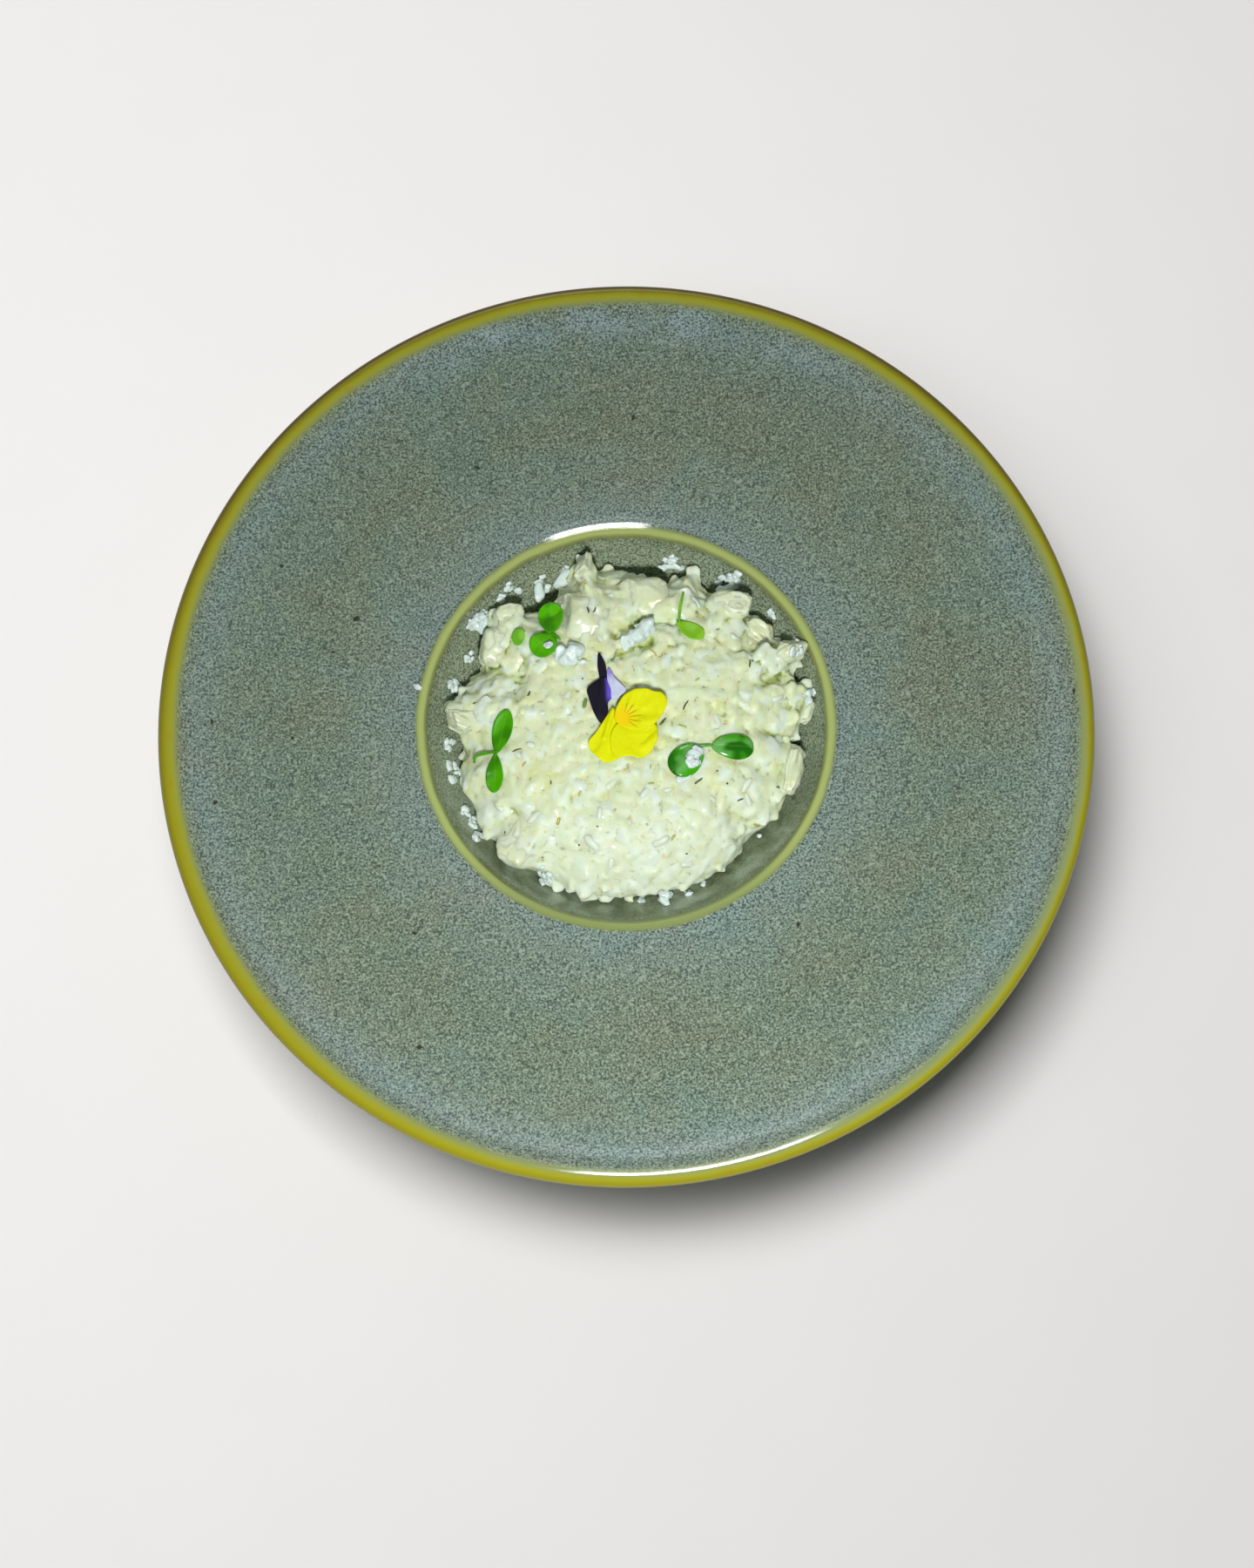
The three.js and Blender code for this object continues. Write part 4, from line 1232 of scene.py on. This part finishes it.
def build_cheese_lumps(material):
    """The larger lumps: rounded parts grown together, with a few crumbs on them."""
    pieces = []
    for index, ((x, y), size, turn, rise, parts) in enumerate(CHEESE):
        rng = np.random.default_rng(SEED + 300 + index)
        if rise < 0:
            raised = 0.7 if y > 0 else 0.0      # on the far wall, which turns towards the camera
            middle = well_height(math.hypot(x, y)) + size[2] * 0.42 + raised
        else:
            middle = float(heap_height(x, y)) + size[2] * (rise - 0.5)
        joined = Joined()
        for points, faces in cheese_parts(size, parts, rng):
            joined.add(points @ turn_matrix(turn) + (x, y, middle), faces)
        crumbs = crumb_shapes(rng)
        for _ in range(parts // 2 if parts > 2 else 0):
            points, faces = crumbs[rng.integers(len(crumbs))]
            spot = rng.uniform(-0.5, 0.5, 3) * size * (0.9, 0.9, 0.5) @ turn_matrix(turn)
            joined.add(points + spot + (x, y, middle), faces)
        piece = mesh_object(f"cheese_lump_{index + 1}", joined.all_points(), joined.faces, material)
        grow_together(piece, CHEESE_VOXEL)
        set_points(piece.data, relaxed(points_of(piece.data), edges_of(piece.data), 5))
        keep_above_plate(piece.data)
        dress(piece, "cheese", f"cheese_{index + 1}")
        pieces.append(piece)
    return pieces


# Crumbs lying in groups, where they are seen: x, y, half length, half width, turn, how many.
CRUMB_GROUPS = (
    (-22, 47, 6, 2.6, 30, 5), (-43.5, 33.5, 4, 3.4, 50, 17), (-47, 22, 1.8, 1.8, 0, 5),
    (-52.5, 12.8, 2.4, 1.4, 0, 7), (-53, -5.5, 1.8, 2.6, 0, 9), (-53, -13, 2.6, 3.8, 20, 14),
    (-48, -28.5, 1.8, 3.4, 20, 10), (15, 51.8, 3.6, 0.8, 8, 6),
    (33, 45, 4.0, 1.2, 16, 13), (9.5, -53, 1.3, 1.8, 0, 5), (-25, -46, 2.6, 1.6, -50, 7),
    (21.5, -11.5, 2.8, 2.4, 60, 10), (52, 22, 1.6, 3.2, 0, 7), (56, 7, 1.4, 3, 0, 5),
    (3, -55.5, 0.6, 0.5, 0, 2), (17, -53.5, 0.8, 0.5, 0, 3), (22, -50.5, 0.9, 0.5, 20, 3),
    (-26, -48.7, 0.5, 0.4, 0, 2), (-62.5, 13, 0.4, 0.8, 0, 2), (-37, 41, 1.2, 0.8, 0, 3),
    (-31, 43, 1.0, 0.7, 0, 3), (-45, -34, 1.6, 1.2, 0, 5), (39, -36.5, 0.4, 0.4, 0, 1),
    (-23, 24.8, 0.7, 0.5, 0, 2), (-36, 44, 3, 1.5, 30, 3), (46, 33, 1.4, 1, 0, 3),
)
# Flakes of cheese over the right sprig: x, y, turn.
LEAF_FLAKES = ((20.2, -10.6, 30), (22.6, -9.4, 60), (19, -13.2, 110), (16.6, -17.6, 20))


def build_cheese_crumbs(ground, material):
    rng = np.random.default_rng(SEED + 400)
    flakes = chip_shapes(rng, (3.4, 5.2), (1.0, 1.5), 3, 420, 5)
    strew("cheese_flakes", ground, LEAF_FLAKES, flakes, material, "cheese", rng, sink=0.15)
    spots = []
    for x, y, half_length, half_width, turn, count in CRUMB_GROUPS:
        for _ in range(count):
            angle, out = rng.uniform(0, 2 * math.pi), math.sqrt(rng.random())
            place = np.array((half_length * out * math.cos(angle), half_width * out * math.sin(angle), 0))
            place = place @ turn_matrix(turn)
            spots.append((x + place[0], y + place[1], rng.uniform(0, 360)))
    strew("cheese_crumbs", ground, spots, crumb_shapes(rng), material, "cheese", rng, sink=0.15,
          size=(0.5, 1.15))


# ---- sprigs and petals ----------------------------------------------------

def blade_frame(base, tip):
    base, tip = np.array(base, float), np.array(tip, float)
    length = np.linalg.norm(tip - base)
    direction = (tip - base) / length
    return base, direction, np.array((-direction[1], direction[0])), length


def blade_outline(base, tip, width, widest, blunt, count=56):
    """A leaf's outline from its base round to its base, counter-clockwise."""
    base, direction, left, length = blade_frame(base, tip)
    stretch = math.log(0.5) / math.log(widest)
    points = []
    for k in range(count):
        angle = 2 * math.pi * k / count
        u = (1 - math.cos(angle)) / 2
        half = width / 2 * max(0.0, math.sin(math.pi * u ** stretch)) ** blunt
        across = -math.copysign(half, math.sin(angle))
        points.append(base + direction * u * length + left * across)
    return np.array(points)


def thin_solid(name, outline, spine, relief, thickness, material, lift=0.0, rings=9):
    """A thin sheet that rests on the heap, with both faces split alike. relief is how
    far it rises at a place. Its along and across attributes run from 0 to 1 up the
    spine and from -1 to 1 sideways."""
    base, direction, left, length = blade_frame(*spine)
    middle = outline.mean(axis=0)
    sides = len(outline)
    width = np.abs((outline - base) @ left).max()
    flat = np.array([middle] + [middle + (point - middle) * (ring / rings)
                                for ring in range(1, rings + 1) for point in outline])
    along = (flat - base) @ direction / length
    across = (flat - base) @ left / width
    x, y = flat.T
    centre = rest_height(x, y) + lift + np.maximum(0, relief(x, y, along, across)) + thickness / 2
    half = np.full(len(flat), thickness / 2)
    half[-sides:] *= 0.4
    inwards = np.append(np.arange(1, len(flat)).reshape(rings, sides)[::-1], 0)
    under = np.column_stack([flat, centre - half])
    over = np.column_stack([flat, centre + half])[inwards]
    piece = mesh_object(name, np.vstack([under, over]), pole_to_pole(sides, 2 * rings), material)
    set_attribute(piece.data, "along", np.append(along, along[inwards]))
    set_attribute(piece.data, "across", np.append(across, across[inwards]))
    return piece


def leaf(name, base, tip, width, widest, blunt, cup, material):
    """A leaf laid on the heap: cup above zero turns its sides up, below zero its middle."""
    def relief(x, y, along, across):
        arch = np.sin(np.pi * np.clip(along, 0, 1))
        ripple = 0.10 * np.sin(9 * along) * across
        bend = cup * across ** 2 if cup > 0 else -cup * (1 - across ** 2) * arch
        groove = -0.18 * np.exp(-(across / 0.12) ** 2)
        return bend + ripple + groove
    outline = blade_outline(base, tip, width, widest, blunt)
    return thin_solid(name, outline, (base, tip), relief, LEAF_THICKNESS, material)


def stem(name, corners, material, sides=10):
    """A thin round stalk through a few points laid on the heap."""
    path = open_curve([(x, y, float(rest_height(x, y)) + 0.35) for x, y in corners], 6)
    last = len(path) - 1
    points = []
    for index, point in enumerate(path):
        ahead = path[min(index + 1, last)] - path[max(index - 1, 0)]
        ahead = ahead / np.linalg.norm(ahead)
        side = np.cross(ahead, (0, 0, 1))
        side /= np.linalg.norm(side)
        up = np.cross(side, ahead)
        thin = STEM_RADIUS * (0.75 + 0.25 * math.sin(math.pi * index / last))
        points.extend(point + thin * (math.cos(a) * side + math.sin(a) * up)
                      for a in 2 * math.pi * np.arange(sides) / sides)
    ends = [tuple(range(sides))[::-1], tuple(range(last * sides, len(points)))]
    piece = mesh_object(name, points, bands(sides, len(path)) + ends, material)
    for attribute in ("along", "across"):
        set_attribute(piece.data, attribute, np.full(len(points), 0.5))
    return piece


def join_pieces(pieces, name):
    """Joins separate pieces into one object and names it."""
    with bpy.context.temp_override(active_object=pieces[0], selected_editable_objects=pieces,
                                   selected_objects=pieces, object=pieces[0]):
        bpy.ops.object.join()
    pieces[0].name = name
    return pieces[0]


# Sprigs: the leaf's two greens, the stem's corners, and for each leaf its base, its tip, its
# width, where along it is widest, how blunt its ends are and its cup.
SPRIGS = {
    "sprig_top_left": {
        "body": (84, 174, 4), "shade": (58, 142, 2),
        "stem": ((-21.8, 28), (-19.2, 25.6)),
        "leaves": (((-22, 27.6), (-22, 39.8), 7.8, 0.58, 0.5, 0.9),
                   ((-21.8, 28), (-26.4, 20.4), 8.6, 0.55, 0.45, 0.7)),
    },
    "sprig_top_right": {
        "body": (132, 192, 36), "shade": (104, 172, 16),
        "stem": ((18.6, 40.2), (17.3, 34), (17, 29.6)),
        "leaves": (((16.2, 30.2), (24.2, 24.6), 5.4, 0.6, 0.5, 0.5),),
    },
    "sprig_left": {
        "body": (74, 160, 2), "shade": (54, 132, 2),
        "stem": ((-46, -11), (-45, -8.8), (-39.4, -8.4), (-38.6, -8.6)),
        "leaves": (((-39, -9), (-35.6, 4), 6.2, 0.55, 0.55, 0.8),
                   ((-39.4, -8.4), (-40, -20.6), 5.4, 0.66, 0.5, 0.6)),
    },
    "sprig_right": {
        "body": (66, 162, 10), "shade": (28, 104, 8), "painted_sheen": (112, 172, 100),
        "stem": ((21.4, -9.6), (25.8, -9.4)),
        "leaves": (((25.2, -9.6), (38, -9.8), 7.9, 0.6, 0.42, -0.9),
                   ((22.4, -10), (13, -17.2), 9.4, 0.55, 0.42, -0.9)),
    },
    "sprig_bit": {
        "body": (136, 200, 70), "shade": (104, 176, 40),
        "stem": (),
        "leaves": (((-31.6, 30), (-32, 24.6), 4.2, 0.5, 0.45, 0.3),),
    },
}


def build_sprigs():
    whole = []
    for name, sprig in SPRIGS.items():
        material = leaf_material(name + "_green", sprig["body"], sprig["shade"], sprig.get("painted_sheen"))
        pieces = [leaf(f"{name}_leaf_{index + 1}", *blade, material)
                  for index, blade in enumerate(sprig["leaves"])]
        if sprig["stem"]:
            pieces.append(stem(name + "_stem", sprig["stem"], material))
        whole.append(join_pieces(pieces, name + "_green") if len(pieces) > 1 else pieces[0])
        dress(whole[-1], "sprig", name)
    return whole


# The viola's petals: outline corners, the spine from throat to tip, layer, cup and folds.
YELLOW = ((220, 224, 0), (208, 210, 0))
PETALS = {
    "viola_purple_narrow": {
        "corners": ((-7.2, 11.4), (-5.3, 12), (-5.4, 14.4), (-5.6, 16.4), (-6.4, 18.7), (-7.7, 20.4),
                    (-8.1, 17), (-7.8, 14)),
        "spine": ((-6.7, 12), (-7.5, 20.4)), "width": 2.9, "layer": 0, "cup": 0.3, "folds": (),
        "slot": "petal_purple", "colours": ((24, 20, 38), (14, 12, 22)),
    },
    "viola_purple_wide": {
        "corners": ((-7.2, -1.7), (-5.3, 1.4), (-5.2, 4.4), (-4.0, 6.2), (-4, 8.6), (-4.9, 11.5),
                    (-6.7, 12.5), (-9.4, 11.1), (-11.4, 8.8), (-10.9, 6), (-10, 2.9), (-8.8, 0)),
        "spine": ((-7.2, -1.7), (-7.4, 12.9)), "width": 7.2, "layer": 0, "cup": 0.5,
        "folds": (((-8, 1), (-7, 11), 1.4, 0.3),),
        "slot": "petal_purple", "colours": ((22, 18, 34), (12, 10, 18)), "marks": violet_edge,
    },
    "viola_lavender": {
        "corners": ((-4.2, 5.8), (-3.1, 5.2), (-1.5, 6.4), (0.3, 8.1), (-1.4, 10.4), (-3.2, 12.4),
                    (-4.4, 15), (-5.2, 14.4), (-5.2, 11.4), (-4.3, 8.4)),
        "spine": ((-4, 5.4), (-3.9, 15.3)), "width": 5.4, "layer": 1, "cup": 0.4,
        "folds": (((-3.6, 6), (-4.2, 13), 0.8, 0.4),),
        "slot": "petal_lavender", "colours": ((196, 202, 226), (168, 176, 212)), "marks": violet_tip,
    },
    "viola_yellow_side": {
        "corners": ((-0.6, -3.9), (-2.6, 0.4), (-3.7, 2.9), (-4.8, 1.5), (-6.3, -0.7), (-8.9, -4.6),
                    (-11.3, -7.6), (-10.9, -10.2), (-9, -12.4), (-6.9, -14.1), (-4.2, -14),
                    (-1.8, -12.6), (-0.6, -8.4)),
        "spine": ((-2.6, 1.6), (-8, -13)), "width": 9.5, "layer": 1, "cup": 0.6,
        "folds": (((-3.8, 1.6), (-6.6, -6.4), 0.9, 0.8), ((-7, -4.4), (-9.6, -9.4), 1.4, -0.4),
                  ((-6.6, -9), (-7.6, -13), 1.6, 0.4)),
        "slot": "petal_yellow", "colours": YELLOW,
    },
    "viola_yellow_lower": {
        "corners": ((-1.8, -2), (-4.2, -4.6), (-5, -8), (-4.4, -11.4), (-2.2, -13), (0.8, -12.8),
                    (4.2, -13.3), (6.8, -11.9), (8.9, -8.6), (9.4, -6), (8.7, -3), (4, -1.6)),
        "spine": ((0, -1.6), (3, -13.3)), "width": 13.6, "layer": 2, "cup": 0.6,
        "folds": (((9.2, -3.6), (4.6, -7.8), 0.9, -0.6), ((9, -7), (5.4, -9.8), 1.3, 0.5),
                  ((-1, -6), (-0.6, -12), 2.0, 0.4)),
        "slot": "petal_yellow", "colours": YELLOW,
    },
    "viola_yellow_upper": {
        "corners": ((-3.4, -1.2), (-1.4, -3.6), (0.8, -4.5), (3.6, -5), (6.4, -4.4), (8.6, -3.2),
                    (10.6, -0.8), (12.2, 2.2), (12.3, 4.7), (11, 6.4), (8.6, 6.9), (6.2, 7.8),
                    (3, 7.6), (0, 6.2), (-1.6, 4.3), (-2.9, 1.8)),
        "spine": ((-0.9, -1), (12.2, 4.4)), "width": 11.6, "layer": 3, "cup": 0.8,
        "folds": (((0.5, -1), (5.5, 0.4), 0.9, -0.3), ((3, 7), (1, 2.6), 1.3, 0.5),
                  ((10.5, 5.5), (6.4, 2.6), 1.6, 0.4), ((9, -2), (5, -2.4), 1.3, 0.5)),
        "slot": "petal_yellow", "colours": YELLOW, "marks": throat_marks,
    },
}


def build_petal(name, petal):
    def relief(x, y, along, across):
        ahead = np.clip(along, 0, 1)
        frill = 0.3 * np.sin(6 * across + 3) * ahead ** 3
        bend = petal["cup"] * (0.6 * across ** 2 + 0.5 * ahead ** 2)
        return bend + frill + folded_height(x, y, petal["folds"])
    material = petal_material(name.replace("viola", "petal"), *petal["colours"], petal.get("marks"))
    outline = closed_curve(petal["corners"], 96)
    piece = thin_solid(name + "_petal", outline, petal["spine"], relief, PETAL_THICKNESS, material,
                       petal["layer"] * PETAL_STEP, 16)
    dress(piece, petal["slot"], name)


# ---- camera, light and floor ----------------------------------------------

def build_camera():
    roll = math.radians(CAMERA["roll"])
    back, level = camera_back(), Vector((1, 0, 0))
    steep = back.cross(level)
    right = math.cos(roll) * level + math.sin(roll) * steep
    up = -math.sin(roll) * level + math.cos(roll) * steep
    camera_data = bpy.data.cameras.new("camera")
    camera_data.sensor_width = 36.0
    camera_data.lens = CAMERA["focal_px"] / IMAGE_HEIGHT * camera_data.sensor_width
    camera_data.clip_start = 0.05
    camera = bpy.data.objects.new("camera", camera_data)
    matrix = Matrix((right, up, back)).transposed().to_4x4()
    matrix.translation = camera_place() * MM
    camera.matrix_world = matrix
    bpy.context.scene.collection.objects.link(camera)
    bpy.context.scene.camera = camera


WHITE, WINDOW_WHITE, FLOOR_WHITE = (1.0, 1.0, 1.0), (0.96, 0.98, 1.0), (1.0, 0.99, 0.98)
# Soft panels that look at the plate's middle. In turn: azimuth (0 is +X, 90 is +Y), elevation
# and distance, width and height, power, colour, and the pieces that alone are lit (INCLUDE)
# or alone aren't (EXCLUDE). Lengths are in metres.
LIGHTS = {
    "food_key_in_front": ((-88, 60, 0.90), (0.08, 0.08), 8.2, WHITE, "EXCLUDE",
                          ("floor", "stoneware_plate")),
    "plate_key_in_front": ((-88, 61, 0.50), (0.05, 0.05), 2.5, WHITE, "INCLUDE", ("stoneware_plate",)),
    "window_behind": ((94, 46, 1.8), (0.36, 0.198), 5.6, WINDOW_WHITE, "EXCLUDE", ("floor",)),
    "floor_light_above": ((135, 77, 2.0), (1.1, 1.1), 33.5, FLOOR_WHITE, "INCLUDE", ("floor",)),
    "floor_light_left": ((190, 60, 1.3), (0.9, 0.9), 4.5, FLOOR_WHITE, "INCLUDE", ("floor",)),
}


def area_light(name, place, size, power, colour, state, pieces):
    data = bpy.data.lights.new(name, "AREA")
    data.shape = "RECTANGLE"
    data.size, data.size_y = size
    data.energy = power
    data.color = colour
    light = bpy.data.objects.new(name, data)
    azimuth, elevation, distance = place
    turn, rise = math.radians(azimuth), math.radians(elevation)
    outwards = Vector((math.cos(turn) * math.cos(rise), math.sin(turn) * math.cos(rise), math.sin(rise)))
    light.location = outwards * distance + Vector((0, 0, 0.03))
    light.rotation_euler = outwards.to_track_quat("Z", "Y").to_euler()
    bpy.context.scene.collection.objects.link(light)
    receivers = bpy.data.collections.new(name + "_receivers")
    for piece in pieces:
        receivers.objects.link(bpy.data.objects[piece])
    for link in receivers.collection_objects:
        link.light_linking.link_state = state
    light.light_linking.receiver_collection = receivers
    return light


def light_room(tree):
    """Soft light from all round, brighter from the window's side than from the front."""
    direction = tree.nodes.new("ShaderNodeTexCoord")
    split = tree.nodes.new("ShaderNodeSeparateXYZ")
    strength = tree.nodes.new("ShaderNodeMapRange")
    tree.links.new(direction.outputs["Generated"], split.inputs[0])
    tree.links.new(split.outputs["Y"], strength.inputs["Value"])
    strength.inputs["From Min"].default_value = -1
    strength.inputs["To Min"].default_value = 0.03
    strength.inputs["To Max"].default_value = 0.12
    background = tree.nodes["Background"]
    background.inputs["Color"].default_value = (0.97, 0.99, 1.0, 1)
    tree.links.new(strength.outputs["Result"], background.inputs["Strength"])


def build_stage():
    grey = ((231.1, 229.9, 228.6), (233.6, 232.4, 231.1))
    floor = mesh_object("floor", [(-3000, -3000, 0), (3000, -3000, 0), (3000, 3000, 0), (-3000, 3000, 0)],
                        [(0, 1, 2, 3)], mottled_material("pale_floor", grey, 0.6, 40), smooth=False)
    world = bpy.data.worlds.new("soft_studio")
    world.use_nodes = True
    light_room(world.node_tree)
    bpy.context.scene.world = world
    lights = {name: area_light(name, *settings) for name, settings in LIGHTS.items()}
    lights["plate_key_in_front"].visible_glossy = False
    bpy.context.scene.view_settings.view_transform = "Standard"


# ---- the whole ------------------------------------------------------------

def main():
    plate = build_plate()
    build_camera()
    build_stage()
    heap = build_heap(risotto_material())
    chicken = build_chicken(chicken_material())
    crumbly = cheese_material()
    cheese = build_cheese_lumps(crumbly)
    sprigs = build_sprigs()
    for name, petal in PETALS.items():
        build_petal(name, petal)
    build_loose_grains(Ground([heap]), rice_material())
    build_flecks(Ground([heap] + chicken))
    build_cheese_crumbs(Ground([plate, heap] + chicken + cheese + sprigs), crumbly)


main()
